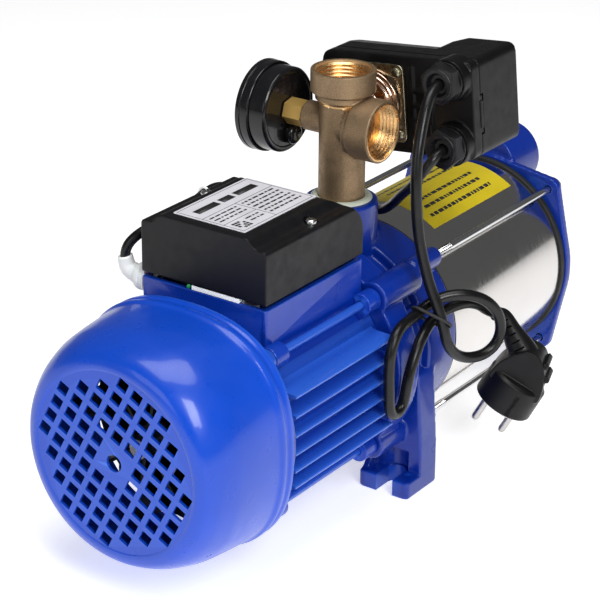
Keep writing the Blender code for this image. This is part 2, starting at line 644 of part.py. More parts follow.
nut = hexagon("impeller_nut", (98.6, 0, SHAFT_Z), "X", 6.0, 13.0)
cut(nut, rod("nut_bore", (90, 0, SHAFT_Z), "X", 30, 4.3, TINY, coll=CUTS))
pivot(nut, (101.6, 0, SHAFT_Z))
finish(nut, STEEL, smooth=False)
VX = STAGE_X + STAGE_L * STAGES
venturi = turned("venturi_tube", [(VX + 48.0, 9.0), (VX + 48.0, 13.5), (VX + 44.0, 12.0),
                                  (VX + 14.0, 15.5), (VX + 6.0, 18.5),
                                  (VX + 3.2, 58.0), (VX, 58.0), (VX, 16.5), (VX + 14.0, 12.5),
                                  (VX + 36.0, 6.5)],
                 at=(0, 0, SHAFT_Z), segs=MEDIUM)
finish(venturi, GREY)
nozzle = turned("ejector_nozzle",
                [(X_COVER + 8.0, 11.0), (X_COVER + 3.0, 11.0), (X_COVER + 3.0, 9.0), (VX + 62.0, 7.5),
                                   (VX + 51.0, 4.5), (VX + 51.0, 2.6), (VX + 60.0, 5.0),
                 (X_COVER + 8.0, 6.0)],
                at=(0, 0, SHAFT_Z), segs=FINE)
finish(nozzle, BRASS)

# suction cover: lobed plate, dished back and the threaded suction port
def hull(points):
    """Outer points of a flat cloud, in turning order."""
    points = sorted(set(points))
    rim = []
    for run in (points, points[::-1]):
        start = len(rim)
        for p in run:
            while len(rim) > start + 1:
                (ax, ay), (bx, by) = rim[-2], rim[-1]
                if (bx - ax) * (p[1] - ay) - (by - ay) * (p[0] - ax) > 0:
                    break
                rim.pop()
            rim.append(p)
        rim.pop()
    return rim


def ring_points(cy, cz, r, count):
    return [(cy + r * math.cos(2 * math.pi * i / count), cz + r * math.sin(2 * math.pi * i / count))
            for i in range(count)]


# the plate's rim goes round the barrel's end and out round an ear at each tie bolt
outline = ring_points(0, SHAFT_Z, PLATE_R, ROUND)
for sy, sz in CORNERS:
    outline += ring_points(sy * ROD_Y, SHAFT_Z + sz * ROD_Z, EAR_R, FINE)
cover = prism("suction_cover", hull(outline), "YZ", X_COVER, X_COVER + PLATE)
join(cover, turned("dish_back", [(X_COVER + 22.0, 0), (X_COVER + 22.0, 40.0), (X_COVER + 18.0, 55.0),
                                 (X_COVER + 8.0, 66.4), (X_COVER + 3.0, 66.8), (X_COVER + 3.0, 0)],
                   at=(0, 0, SHAFT_Z), segs=ROUND, coll=CUTS))
join(cover,
     turned("suction_boss", [(X_MOUTH, 0), (X_MOUTH, 21.4), (X_MOUTH - 1.2, 22.5), (X_COVER + 3.0, 22.5),
                                    (X_COVER + 3.0, 0)], at=(0, 0, SUCTION_Z), segs=MEDIUM, coll=CUTS))
cut(cover, turned("cover_hollow", [(X_COVER + 17.0, 0), (X_COVER + 17.0, 38.0), (X_COVER + 12.0, 52.0),
                                   (X_COVER + 3.0, 61.0), (X_COVER - 2.0, 61.0), (X_COVER - 2.0, 0)],
                  at=(0, 0, SHAFT_Z), segs=ROUND, coll=CUTS))
# the port ends at a wall, and a passage leads from its lower side into the hollow
cut(cover, rod("suction_bore", (SUCTION_END, 0, SUCTION_Z), "X", 50, 15.4, SMALL, coll=CUTS))
cut(cover, box("suction_passage", (184.0, 199.0), (-9.0, 9.0), (128.0, 134.0), CUTS))
join(cover, turned("nozzle_seat", [(X_COVER + 19.0, 0), (X_COVER + 19.0, 16.0), (X_COVER + 3.6, 16.0),
                                   (X_COVER + 3.6, 0)],
                   at=(0, 0, SHAFT_Z), segs=FINE, coll=CUTS))
cut(cover, rod("nozzle_socket", (X_COVER + 2.0, 0, SHAFT_Z), "X", 10.0, 11.3, FINE, coll=CUTS))
for n, (sy, sz) in enumerate(CORNERS):
    cut(cover, rod("cover_hole_%d" % n, (X_COVER - 4, sy * ROD_Y, SHAFT_Z + sz * ROD_Z), "X", 20.0,
                   BOLT_HOLE, TINY, coll=CUTS))
finish(cover, BLUE)
for n, (sy, sz) in enumerate(CORNERS):
    at = (16.0, sy * ROD_Y, SHAFT_Z + sz * ROD_Z)
    b = rod("tie_bolt_%d" % (n + 1), at, "X", X_COVER + PLATE + GAP - 16.0 + 0.5, BOLT_SHANK, TINY)
    join(b, hexagon("tie_head_%d" % (n + 1), (X_COVER + PLATE + GAP, at[1], at[2]), "X", 4.0, 9.0, CUTS))
    finish(b, CHROME)

# ==== brass manifold and gauge =================================================================
brass = turned("brass_manifold",
               [(TOP_Z, 0), (TOP_Z, 19.75), (243.6, 19.75), (243.0, 16.8), (238.6, 16.8), (238.4, 14.2),
                                  (176.4, 14.2), (176.2, 16.4), (161.0, 16.4), (161.0, 0)],
               at=(OUT_X, 0, 0), axis="Z", segs=MEDIUM)
join(brass, turned("side_port", [(29.3, 0), (29.3, 19.0), (13.4, 19.0), (13.0, 17.0), (9.4, 17.0),
                                 (9.2, 14.0), (0, 14.0),
                                 (0, 0)], at=(OUT_X, 0, PORT_Z), axis=(0, -1, 0), segs=MEDIUM, coll=CUTS))
join(brass, rod("gauge_port", (OUT_X, 0, PORT_Z), "Y", 31.3, 9.2, SMALL, coll=CUTS))
join(brass, rod("switch_port", (OUT_X, 0, SW_Z), "X", 20.0, 9.2, SMALL, coll=CUTS))
cut(brass, turned("top_bore", [(TOP_Z + 1, 0), (TOP_Z + 1, 16.6), (240.0, 15.4), (239.0, 11.2),
                               (158.0, 11.2), (158.0, 0)],
                  at=(OUT_X, 0, 0), axis="Z", segs=MEDIUM, coll=CUTS))
cut(brass, turned("side_bore", [(31.0, 0), (31.0, 16.4), (14.0, 15.0), (13.0, 10.5), (0, 10.5), (0, 0)],
                  at=(OUT_X, 0, PORT_Z), axis=(0, -1, 0), segs=MEDIUM, coll=CUTS))
cut(brass, rod("gauge_bore", (OUT_X, 0, PORT_Z), "Y", 34, 4.6, FINE, coll=CUTS))
cut(brass, rod("switch_bore", (OUT_X, 0, SW_Z), "X", 24, 4.6, FINE, coll=CUTS))
finish(brass, BRASS)

GY = 39.2
stem = hexagon("gauge_stem", (OUT_X, 31.6, PORT_Z), "Y", 7.3, 14.0)
join(stem, rod("stem_thread", (OUT_X, 19.0, PORT_Z), "Y", 14, 4.2, FINE, coll=CUTS))
finish(stem, BRASS, smooth=False)
gcase = turned("gauge_case",
               [(GY + 2.2, 0), (GY + 2.2, 24.4), (GY + 18.4, 24.8), (GY + 18.4, 26.2), (GY + 12.0, 26.6),
                              (GY + 0.8, 26.4), (GY, 25.6), (GY, 0)], at=(OUT_X, 0, PORT_Z), axis="Y",
               segs=MEDIUM)
cut(gcase, rod("vent_hole", (OUT_X + 1.4, GY - 3, PORT_Z - 15.0), "Y", 8, 5.0, FINE, coll=CUTS))
finish(gcase, BLACK)
bezel = turned("gauge_bezel", [(GY + 21.0, 25.0), (GY + 21.0, 27.6), (GY + 20.2, 28.3), (GY + 12.0, 28.1),
                               (GY + 11.4, 27.6),
                               (GY + 11.4, 26.95), (GY + 18.8, 26.9), (GY + 18.8, 25.0)],
                at=(OUT_X, 0, PORT_Z), axis="Y", segs=MEDIUM)
finish(bezel, BLACK)
dial = turned("gauge_dial", [(GY + 10.5, 0), (GY + 10.5, 24.2), (GY + 9.5, 24.2), (GY + 9.5, 0)],
              at=(OUT_X, 0, PORT_Z), axis="Y", segs=MEDIUM)
cut(dial, rod("dial_bore", (OUT_X, GY + 8, PORT_Z), "Y", 5, 1.6, TINY, coll=CUTS))
finish(dial, WHITE)
pointer = turned("gauge_pointer", [(GY + 13.4, 0), (GY + 13.4, 2.2), (GY + 12.0, 2.6), (GY + 12.0, 1.2),
                                   (GY + 7.0, 1.2), (GY + 7.0, 0)],
                 at=(OUT_X, 0, PORT_Z), axis="Y", segs=TINY)
join(pointer, prism("needle", [(OUT_X - 1.2, PORT_Z + 1.2), (OUT_X + 1.2, PORT_Z - 1.2),
                               (OUT_X + 13.4, PORT_Z - 12.8),
                               (OUT_X + 12.8, PORT_Z - 13.4)], "XZ", GY + 12.2, GY + 13.0, CUTS))
finish(pointer, BLACK, smooth=False)
lens = turned("gauge_lens", [(GY + 18.4, 0), (GY + 18.4, 24.4), (GY + 17.0, 24.4), (GY + 17.0, 0)],
              at=(OUT_X, 0, PORT_Z), axis="Y", segs=MEDIUM)
finish(lens, GLASS)
vent = turned("gauge_vent_plug", [(GY + 1.9, 0), (GY + 1.9, 4.6), (GY - GAP, 4.6), (GY - GAP, 6.6),
                                  (GY - 4.0, 6.4), (GY - 5.8, 4.6),
                                  (GY - 6.4, 0)], at=(OUT_X + 1.4, 0, PORT_Z - 15.0), axis="Y", segs=FINE)
finish(vent, RUBBER)

# ==== pressure switch =========================================================================
SWITCH = Matrix.Translation(Vector((0, 0, SW_Z)) * MM) @ Matrix.Rotation(math.radians(SW_TILT), 4, "X")
# in the switch's own frame x runs as in the pump, y = -(distance toward the gland end), z up


def sw(o):
    """Takes a shape drawn in the switch's own frame to its place."""
    o.matrix_world = SWITCH @ o.matrix_world
    return o


SWX0, SWJ, SWB, SWP = 39.4, 47.4, 91.4, 79.0
body = rounded(-71.5, 35.6, -30.3, 30.3, 6.0, 3)
base = sw(prism("switch_base", body, "YZ", SWX0, SWJ))
for tag, u in (("u", 19.9), ("l", -19.9)):
    join(base,
         sw(rod("gland_boss_" + tag, (31.7, -58.3, u), "X", SWJ - 31.7 - 0.5, 13.0, SMALL, coll=CUTS)))
for tag, u in (("u", 19.9), ("l", -19.9)):
    cut(base, sw(rod("gland_hole_" + tag, (29.0, -58.3, u), "X", 30, 5.4, FINE, coll=CUTS)))
cut(base, sw(rod("diaphragm_bore", (36.0, 0, 0), "X", 20, 14.0, SMALL, coll=CUTS)))
cut(base, sw(box("base_hollow", (43.4, 50), (-66, 31), (-26, 26), CUTS)))
join(base, sw(rod("guide_ring", (39.8, 0, 0), "X", 7.4, 17.0, SMALL, coll=CUTS)))
cut(base, sw(rod("guide_bore", (36.0, 0, 0), "X", 20, 13.9, SMALL, coll=CUTS)))
finish(base, BLACK)
shell = sw(prism("switch_cover", body, "YZ", SWJ + GAP, SWB))
step = sw(prism("cover_step", [(SWP, 60), (SWP, -33), (SWB + 6, -41), (SWB + 6, 60)], "XY", -45, 45,
                CUTS))
cut(shell, step)
slope = sw(prism("cover_slope", [(58.0, 30.9), (SWP + 4, 25.4), (SWP + 4, 45), (58.0, 45)], "XZ", -34, 60,
                 CUTS))
cut(shell, slope)
cut(shell,
    sw(prism("cover_hollow_a", rounded(-69.0, 32.5, -27.8, 25.0, 4.0, 2), "YZ", SWJ - 2, SWP - 4, CUTS)))
cut(shell, sw(prism("cover_hollow_b", rounded(-69.0, -44.0, -27.8, 25.0, 4.0, 2), "YZ", SWP - 6,
                    SWB - 2.5, CUTS)))
cut(shell, sw(box("latch_slot", (44, 51.0), (-75, -66), (-16, 9), CUTS)))
finish(shell, BLACK)
plate = sw(prism("flange_plate", rounded(-24.6, 23.0, -23.6, 25.2, 5.0, 4), "YZ", 37.0, 39.1))
for a, b in ((-19.6, 20.2), (18.0, 20.2), (-19.6, -18.6), (18.0, -18.6)):
    join(plate, sw(rod("plate_screw_%d_%d" % (a, b), (35.0, a, b), "X", 2.4, 3.4, TINY, coll=CUTS)))
cut(plate, sw(rod("plate_bore", (30, 0, 0), "X", 20, 13.9, SMALL, coll=CUTS)))
finish(plate, STEEL)
dome = sw(turned("diaphragm_dome", [(36.7, 12.0), (36.7, 21.0), (34.6, 21.4), (33.4, 19.6), (31.0, 16.0),
                                    (29.4, 10.5), (27.0, 10.5),
                                    (27.0, 5.6), (34.0, 5.6), (34.0, 12.0)],
                 at=(0, 0, 0), axis="X", segs=MEDIUM))
finish(dome, CHROME)
plunger = sw(turned("switch_plunger", [(60.0, 0), (60.0, 3.0), (45.0, 3.0), (43.6, 10.0), (42.6, 13.4),
                                       (40.6, 13.4), (40.6, 0)],
                    axis="X", segs=FINE))
finish(plunger, WHITE)
for tag, u in (("upper", 19.9), ("lower", -19.9)):
    g = sw(turned("gland_nut_" + tag, [(31.4, 7.0), (31.4, 11.9), (30.2, 11.9), (30.2, 9.8), (22.4, 9.8),
                                       (21.4, 9.4), (21.4, 7.0)],
                  at=(0, -58.3, u), axis="X", segs=SMALL))
    join(g, sw(hexagon("gland_hex_" + tag, (21.8, -58.3, u), "X", 8.2, 22.0, CUTS, phase=8)))
    cut(g, sw(rod("gland_bore_" + tag, (18.0, -58.3, u), "X", 18, 6.6, FINE, coll=CUTS)))
    finish(g, BLACK, smooth=False)

# ==== cables ==================================================================================
LEAD = [(28.0, -55.8, 253.4), (20.0, -56.0, 252.6), (12.0, -57.0, 248.6), (5.0, -58.5, 241.0),
        (-0.5, -59.8, 231.0),
        (-5.0, -61.0, 220.5), (-8.0, -62.2, 209.0), (-9.3, -63.4, 196.0), (-9.5, -65.0, 180.0),
        (-9.2, -68.0, 162.6),
        (-7.6, -73.4, 142.0), (-5.8, -79.2, 126.5), (-5.0, -83.0, 114.5), (-3.6, -84.6, 106.0),
        (1.0, -85.4, 98.6),
        (8.0, -87.0, 92.6), (16.6, -90.0, 89.2), (26.4, -94.2, 89.6), (33.4, -97.6, 95.4),
        (35.6, -98.7, 105.0),
        (32.4, -97.1, 115.9), (24.8, -92.4, 125.0), (14.8, -85.2, 129.9), (5.2, -76.6, 129.6),
        (-4.0, -70.2, 125.6),
        (-14.0, -69.6, 123.4), (-26.0, -71.4, 124.0), (-37.0, -73.4, 124.4), (-45.6, -74.6, 120.6),
        (-50.4, -75.0, 112.0),
        (-51.6, -75.0, 101.0), (-51.2, -75.0, 90.0), (-50.4, -75.0, 78.8), (-48.0, -75.0, 73.0),
        (-42.4, -75.0, 70.6),
        (-36.8, -75.2, 73.0), (-34.2, -75.6, 79.6), (-31.4, -76.0, 90.4), (-26.6, -76.0, 100.2),
        (-19.6, -75.2, 107.8),
        (-11.0, -73.8, 112.6), (-2.6, -73.0, 115.6), (5.6, -74.6, 118.6), (14.0, -78.0, 120.8),
        (23.2, -82.0, 120.8),
        (31.6, -84.8, 117.4), (38.4, -87.1, 112.1), (43.85, -89.4, 108.7)]
tube("mains_lead", LEAD, CORD_R, 9.4, 2)

LINK = [(28.0, -60.0, 213.6), (20.0, -59.9, 212.6), (14.0, -58.4, 208.4), (12.4, -53.0, 200.0),
        (14.8, -46.0, 191.4),
        (21.2, -34.0, 180.0), (30.0, -21.5, 168.4), (37.6, -10.0, 160.0), (40.4, 2.0, 156.6),
        (35.0, 15.6, 155.0),
        (24.0, 27.6, 153.2), (10.0, 36.6, 153.4), (-8.0, 43.2, 160.0), (-24.0, 47.2, 172.0),
        (-40.0, 48.6, 184.0),
        (-54.0, 48.8, 189.2), (-68.0, 48.6, 188.6), (-84.0, 48.6, 184.6), (-98.0, 49.6, 182.4),
        (-110.0, 52.0, 181.8),
        (-118.6, 56.0, 178.6), (-123.0, 60.4, 172.6), (-124.2, 62.2, 165.4), (-123.6, 60.6, 158.6),
        (-122.8, 56.0, 155.8),
        (GLAND_X, 51.0, GLAND_Z), (GLAND_X, 47.0, GLAND_Z)]
tube("link_cable", LINK, LINK_R, 9.0, 2)
gland = turned("box_gland",
               [(53.0, 3.5), (53.0, 7.0), (51.6, 8.4), (45.8, 8.4), (44.3, 9.0), (44.3, 4.0), (38.5, 4.0),
                             (38.5, 3.5)], at=(GLAND_X, 0, GLAND_Z), axis="Y", segs=FINE)
finish(gland, WHITE)

# plug in its own frame: a runs back from the pin face, e sideways, f through its thickness
FACE = Vector((47.3, -96.0, 48.7))
PA = Vector((0.222, -0.420, 0.880)).normalized()
PE = Vector((0.292, -0.831, -0.471))
PE = (PE - PA * PE.dot(PA)).normalized()
PF = PA.cross(PE)
PIN_TURN = math.radians(15)
PIN_HALF = 9.5          # half of the 19 mm between the pins


def pl(a, e, f=0.0):
    v = FACE + PA * a + PE * e + PF * f
    return (v.x, v.y, v.z)


PLUG = Matrix(((PE.x, PF.x, PA.x, FACE.x * MM), (PE.y, PF.y, PA.y, FACE.y * MM),
               (PE.z, PF.z, PA.z, FACE.z * MM),
               (0, 0, 0, 1)))

plug = turned("plug_body", [(21.5, 0), (21.5, 16.4), (19.5, 18.7), (1.0, 19.0), (0.0, 18.2), (0, 0)],
              at=FACE, axis=PA,
              segs=MEDIUM)
neck = prism("plug_neck", [(-16.0, 19.0), (-14.6, 27.0), (-9.0, 36.0), (-4.0, 41.0), (4.0, 41.0),
                           (9.6, 36.0), (15.0, 24.0),
                           (16.0, 19.0)], "XZ", -9.0, 9.0, CUTS, matrix=PLUG)
grip = prism("plug_grip", [(9.0, 36.0), (11.2, 38.6), (2.0, 44.0), (-4.5, 44.6), (-4.5, 40.0),
                           (1.5, 40.0)], "XZ", -11.0, 11.0,
             CUTS, matrix=PLUG)
BOOT = [(*pl(30.0, 0.0), 8.4), (*pl(36.0, -7.5), 7.8), (*pl(42.0, -17.4), 6.8), (*pl(48.2, -27.5), 5.6),
        (47.5, -90.95, 106.4, 5.0), (44.2, -89.55, 108.5, 4.6)]
boot_curve = tube("boot_guide", [q[:3] for q in BOOT], 1.0, 6.0, 2)
line = boot_curve.data.splines[0]
last = len(line.points) - 1
for n, q in enumerate(line.points):
    at = n / last * (len(BOOT) - 1)
    low = min(int(at), len(BOOT) - 2)
    q.radius = BOOT[low][3] + (BOOT[low + 1][3] - BOOT[low][3]) * (at - low)
boot = add("plug_boot", solid_mesh(boot_curve, "plug_boot"), CUTS)
bpy.data.objects.remove(boot_curve, do_unlink=True)
join(plug, neck, grip, boot)
for n, side in enumerate((-1, 1)):
    e = side * PIN_HALF * math.cos(PIN_TURN)
    f = side * PIN_HALF * math.sin(PIN_TURN)
    cut(plug, rod("pin_way_%d" % n, pl(-2, e, f), PA, 14, 2.7, FINE, coll=CUTS))
    pin = turned("plug_pin_%d" % (n + 1),
                 [(11.0, 0), (11.0, 2.3), (-17.6, 2.4), (-18.6, 1.9), (-19.0, 0)], at=pl(0, e, f),
                 axis=PA, segs=TINY)
    finish(pin, CHROME)
finish(plug, BLACK)
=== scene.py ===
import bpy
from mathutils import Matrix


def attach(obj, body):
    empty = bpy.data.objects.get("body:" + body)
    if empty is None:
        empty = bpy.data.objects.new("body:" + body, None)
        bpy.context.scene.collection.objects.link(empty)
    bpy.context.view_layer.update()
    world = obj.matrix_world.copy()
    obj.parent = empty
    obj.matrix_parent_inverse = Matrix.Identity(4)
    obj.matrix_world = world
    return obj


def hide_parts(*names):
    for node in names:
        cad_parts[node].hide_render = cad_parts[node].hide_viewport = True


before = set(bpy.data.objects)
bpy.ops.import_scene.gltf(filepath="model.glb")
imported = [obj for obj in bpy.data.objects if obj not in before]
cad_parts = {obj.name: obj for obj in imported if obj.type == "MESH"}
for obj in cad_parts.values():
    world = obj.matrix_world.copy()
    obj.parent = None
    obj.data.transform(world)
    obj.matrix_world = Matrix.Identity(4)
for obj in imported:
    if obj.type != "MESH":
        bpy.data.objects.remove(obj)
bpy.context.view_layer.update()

import random
from math import atan2, cos, hypot, pi, radians, sin, sqrt

import bmesh
import bpy
from mathutils import Matrix, Vector

# Shapes are drawn in millimetres in the frame's axes: +X along the shaft towards the suction
# port, +Z up, the feet on z = 0.
MM = 0.001
SHAFT = 86.4
END = 213.4
# the outlet's place along the shaft, and the brass fitting's side ports
OUT_X = 6.7
PORT_Z = 223
PORT = (OUT_X, 0, PORT_Z)
# the pressure switch, and its two glands in its own frame
SWITCH_Z = 227.6
SWITCH_TILT = -6
GLAND_Y = -58.3
GLAND_Z = 19.9
# the terminal box and the gland in its side
BOX_X = (-131.7, -34.9)
BOX_Y = 44
BOX_GLAND = (-122.6, 0, 155.2)
# the motor's through bolts and the pump's tie bolts
CORNERS = ((-1, 1), (1, 1), (-1, -1), (1, -1))
BOLTS = [(0, y * 49, SHAFT + z * 48) for y, z in CORNERS]
RODS = [(0, y * 50, SHAFT + z * 53.4) for y, z in CORNERS]
BOLT_HOLE = 2.9
# the suction port, the bosses round both water ways, and the barrel
SUCTION_Z = 145
BOSS_R = 22.5
BARREL_R = 65
AX = Vector((1, 0, 0))
AY = Vector((0, 1, 0))
AZ = Vector((0, 0, 1))
ROOT = bpy.context.scene.collection


def place(name, data):
    o = bpy.data.objects.new(name, data)
    ROOT.objects.link(o)
    return o


# ---- camera, floor and light -----------------------------------------------
def camera():
    """The photograph's viewpoint, in front of the fan cover, to its left and above."""
    yaw, pitch, roll = radians(34.89), radians(23.72), 0.0111
    ahead = Vector((cos(pitch) * cos(yaw), cos(pitch) * sin(yaw), -sin(pitch)))
    right = Vector((sin(yaw), -cos(yaw), 0))
    up = right.cross(ahead)
    side = right * cos(roll) + up * sin(roll)
    top = up * cos(roll) - right * sin(roll)
    data = bpy.data.cameras.new("camera")
    data.sensor_width = 36
    data.lens = 135.86
    data.shift_x = -0.0018
    data.shift_y = -0.00095
    data.clip_end = 50
    o = place("camera", data)
    turn = Matrix((side, top, -ahead)).transposed().to_4x4()
    o.matrix_world = Matrix.Translation((-1.0594, -0.7146, 0.671)) @ turn
    bpy.context.scene.camera = o
    bpy.context.scene.view_settings.view_transform = "Standard"


def lamp(name, at, aim, size, watts, colour=(1, 1, 1)):
    data = bpy.data.lights.new(name, "AREA")
    data.shape = "RECTANGLE"
    data.size, data.size_y = size
    data.energy = watts
    data.color = colour
    o = place(name, data)
    o.location = at
    o.rotation_euler = (Vector(aim) - Vector(at)).to_track_quat("-Z", "Y").to_euler()


def studio():
    """White floor and room, a large softbox overhead, a key on the right and a low fill."""
    world = bpy.data.worlds.new("studio")
    bpy.context.scene.world = world
    world.use_nodes = True
    world.node_tree.nodes["Background"].inputs["Color"].default_value = (0.97, 0.98, 1, 1)
    world.node_tree.nodes["Background"].inputs["Strength"].default_value = 0.11
    bm = bmesh.new()
    bmesh.ops.create_circle(bm, cap_ends=True, segments=96, radius=9)
    floor = link("floor", bm)
    floor.location = (0, 0, -0.0002)
    white = look("floor_white", (0.92, 0.92, 0.93), 0.6)
    shader(white).inputs["Emission Color"].default_value = (1, 1, 1, 1)
    shader(white).inputs["Emission Strength"].default_value = 0.58
    vary_rough(white, noise(white, 6), 0.55, 0.7)
    wear(floor, white)
    aim = (0, 0, 0.12)
    lamp("overhead", (-0.1, -0.15, 1.7), aim, (1.1, 0.9), 15)
    lamp("key", (-0.75, -1.15, 1.1), aim, (0.55, 0.75), 16)
    lamp("front_fill", (-1.7, 0.25, 0.7), aim, (0.8, 0.8), 4)


# ---- shape helpers ---------------------------------------------------------
def link(name, bm, merge=1e-6):
    """A named object from a bmesh, with merged points and outward faces."""
    if merge:
        bmesh.ops.remove_doubles(bm, verts=bm.verts, dist=merge)
    bmesh.ops.recalc_face_normals(bm, faces=bm.faces)
    mesh = bpy.data.meshes.new(name)
    bm.to_mesh(mesh)
    bm.free()
    mesh.shade_smooth()
    return place(name, mesh)


def stand(at, axis):
    """Takes +Z to the axis at a point in millimetres."""
    turn = AZ.rotation_difference(Vector(axis).normalized()).to_matrix().to_4x4()
    return Matrix.Translation(Vector(at) * MM) @ turn


YZ = Matrix(((0, 0, 1, 0), (1, 0, 0, 0), (0, 1, 0, 0), (0, 0, 0, 1)))
XZ = Matrix(((1, 0, 0, 0), (0, 0, 1, 0), (0, 1, 0, 0), (0, 0, 0, 1)))
XY = Matrix.Identity(4)


def soft(points, radius, closed=True, steps=4):
    """Rounds an outline's corners, up to 45% of the shorter neighbouring side."""
    out = []
    count = len(points)
    for i, corner in enumerate(points):
        if not closed and i in (0, count - 1):
            out.append(tuple(corner))
            continue
        p = Vector(corner)
        a = Vector(points[i - 1]) - p
        b = Vector(points[(i + 1) % count]) - p
        cut = min(radius, 0.45 * a.length, 0.45 * b.length)
        start, end = p + a.normalized() * cut, p + b.normalized() * cut
        for k in range(steps + 1):
            u = k / steps
            out.append(tuple(start * (1 - u) ** 2 + p * 2 * u * (1 - u) + end * u * u))
    return out


def skin(name, rings, around=False, caps=False, merge=0):
    """Joins rings of points, one after the other, into the faces of a named object."""
    bm = bmesh.new()
    rows = [[bm.verts.new(p) for p in ring] for ring in rings]
    if caps:
        bm.faces.new(rows[0])
        bm.faces.new(rows[-1])
    for a, b in zip(rows, rows[1:] + rows[:1] if around else rows[1:]):
        for i in range(len(a)):
            k = (i + 1) % len(a)
            bm.faces.new((a[i], a[k], b[k], b[i]))
    return link(name, bm, merge)


def round_angles(count):
    return [2 * pi * i / count for i in range(count)]


def lathe(name, section, at=(0, 0, SHAFT), axis=AX, sides=96, radius=0):
    """Turned solid. The section holds (distance along the axis, radius) points and is closed,
    or starts and ends on the axis."""
    hollow = section[0][1] > 0
    if radius:
        section = soft(section, radius, closed=hollow)
    put = stand(at, axis)
    rings = [[put @ Vector((r * cos(a) * MM, r * sin(a) * MM, h * MM)) for a in round_angles(sides)] for h,
             r in section]
    return skin(name, rings, around=hollow, merge=1e-6)


def rod(far, near, r, *place, **more):
    """Plain round bar or bore between two places along its axis."""
    return lathe("rod", [(far, 0), (far, r), (near, r), (near, 0)], *place, **more)


def prism(name, outline, lo, hi, put=XY):
    """Straight solid over a flat outline."""
    rings = [[put @ Vector((u * MM, v * MM, w * MM)) for u, v in outline] for w in (lo, hi)]
    return skin(name, rings, caps=True)


def block(name, x, y, z, turn=None):
    o = prism(name, [(x[0], y[0]), (x[1], y[0]), (x[1], y[1]), (x[0], y[1])], z[0], z[1])
    if turn is not None:
        middle = Matrix.Translation((0, 0, SHAFT * MM))
        o.data.transform(middle @ turn @ middle.inverted())
    return o


def sweep(name, path, radii, sides=20, closed=False):
    """Tube with its own radius at each point of the path."""
    points = [Vector(p) for p in path]
    last = len(points) - 1
    side = None
    rings = []
    for i, p in enumerate(points):
        if closed:
            ahead = (points[(i + 1) % len(points)] - points[i - 1]).normalized()
        else:
            ahead = (points[min(i + 1, last)] - points[max(i - 1, 0)]).normalized()
        if side is None:
            side = ahead.orthogonal().normalized()
        side = (side - ahead * side.dot(ahead)).normalized()
        other = ahead.cross(side)
        rings.append([(p + (side * cos(a) + other * sin(a)) * radii[i]) * MM for a in round_angles(sides)])
    return skin(name, rings, around=closed, caps=not closed)


def settle(o):
    """Makes the modified shape the object's own mesh."""
    bpy.context.view_layer.update()
    graph = bpy.context.evaluated_depsgraph_get()
    mesh = bpy.data.meshes.new_from_object(o.evaluated_get(graph))
    old = o.data
    o.modifiers.clear()
    o.data = mesh
    bpy.data.meshes.remove(old)
    return o


def ease(o, width, steps=3, angle=35):
    """Rounds the edges and evens the shading over the flat faces."""
    m = o.modifiers.new("ease", "BEVEL")
    m.width = width * MM
    m.segments = steps
    m.limit_method = "ANGLE"
    m.angle_limit = radians(angle)
    o.modifiers.new("even", "WEIGHTED_NORMAL")
    return settle(o)


def boolean(o, how, tools):
    for tool in tools:
        m = o.modifiers.new("boolean", "BOOLEAN")
        m.operation = how
        m.solver = "MANIFOLD"
        m.object = tool
    settle(o)
    for tool in tools:
        bpy.data.objects.remove(tool, do_unlink=True)
    return o


def cut(o, *tools):
    return boolean(o, "DIFFERENCE", tools)


def join(o, *tools):
    return boolean(o, "UNION", tools)


def merge(name, solids):
    """Several solids as one object, without joining their surfaces."""
    bm = bmesh.new()
    for s in solids:
        bm.from_mesh(s.data)
        bpy.data.objects.remove(s, do_unlink=True)
    return link(name, bm, merge=0)


def cast(name, solids, voxel=0.7, relax=6):
    """Melts overlapping solids into one casting or moulding with small fillets."""
    o = merge(name, solids)
    m = o.modifiers.new("melt", "REMESH")
    m.mode = "VOXEL"
    m.voxel_size = voxel * MM
    m.use_smooth_shade = True
    s = o.modifiers.new("relax", "SMOOTH")
    s.factor = 0.5
    s.iterations = relax
    return settle(o)


def thin(o, ratio, sharp=38):
    """Fewer faces, then smooth shading apart from machined edges."""
    m = o.modifiers.new("thin", "DECIMATE")
    m.ratio = ratio
    return crisp(settle(o), sharp)


def crisp(o, angle=38):
    o.data.shade_smooth()
    o.data.set_sharp_from_angle(angle=radians(angle))
    return o


def turn_x(degrees):
    return Matrix.Rotation(radians(degrees), 4, "X")


def outward(at):
    """Turn about the shaft from +Y towards a bolt, and the bolt's distance from the shaft."""
    y, z = at[1], at[2] - SHAFT
    return Matrix.Rotation(atan2(z, y), 4, "X"), hypot(y, z)


def rounded(x0, x1, y0, y1, r, steps=8):
    return soft([(x0, y0), (x1, y0), (x1, y1), (x0, y1)], r, steps=steps)


def hexagon(flats, phase=0):
    r = flats / sqrt(3)
    return [(r * cos(radians(60 * k + phase)), r * sin(radians(60 * k + phase))) for k in range(6)]


def route(points, step):
    """Points at an even step along a smooth curve through the route."""
    p = [Vector(q) for q in points]
    p = [2 * p[0] - p[1]] + p + [2 * p[-1] - p[-2]]
    fine = []
    for i in range(1, len(p) - 2):
        a, b, c, d = p[i - 1], p[i], p[i + 1], p[i + 2]
        for k in range(24):
            t = k / 24
            fine.append(0.5 * ((2 * b) + (c - a) * t + (2 * a - 5 * b + 4 * c - d) * t * t
                               + (3 * b - a - 3 * c + d) * t * t * t))
    fine.append(p[-2])
    total = sum((q - r).length for q, r in zip(fine, fine[1:]))
    count = max(2, round(total / step))
    out = [fine[0]]
    run = 0
    for q, r in zip(fine, fine[1:]):
        gap = (r - q).length
        while run + gap >= total / count * len(out) - 1e-9 and len(out) < count:
            out.append(q.lerp(r, (total / count * len(out) - run) / gap))
        run += gap
    out.append(fine[-1])
    return out


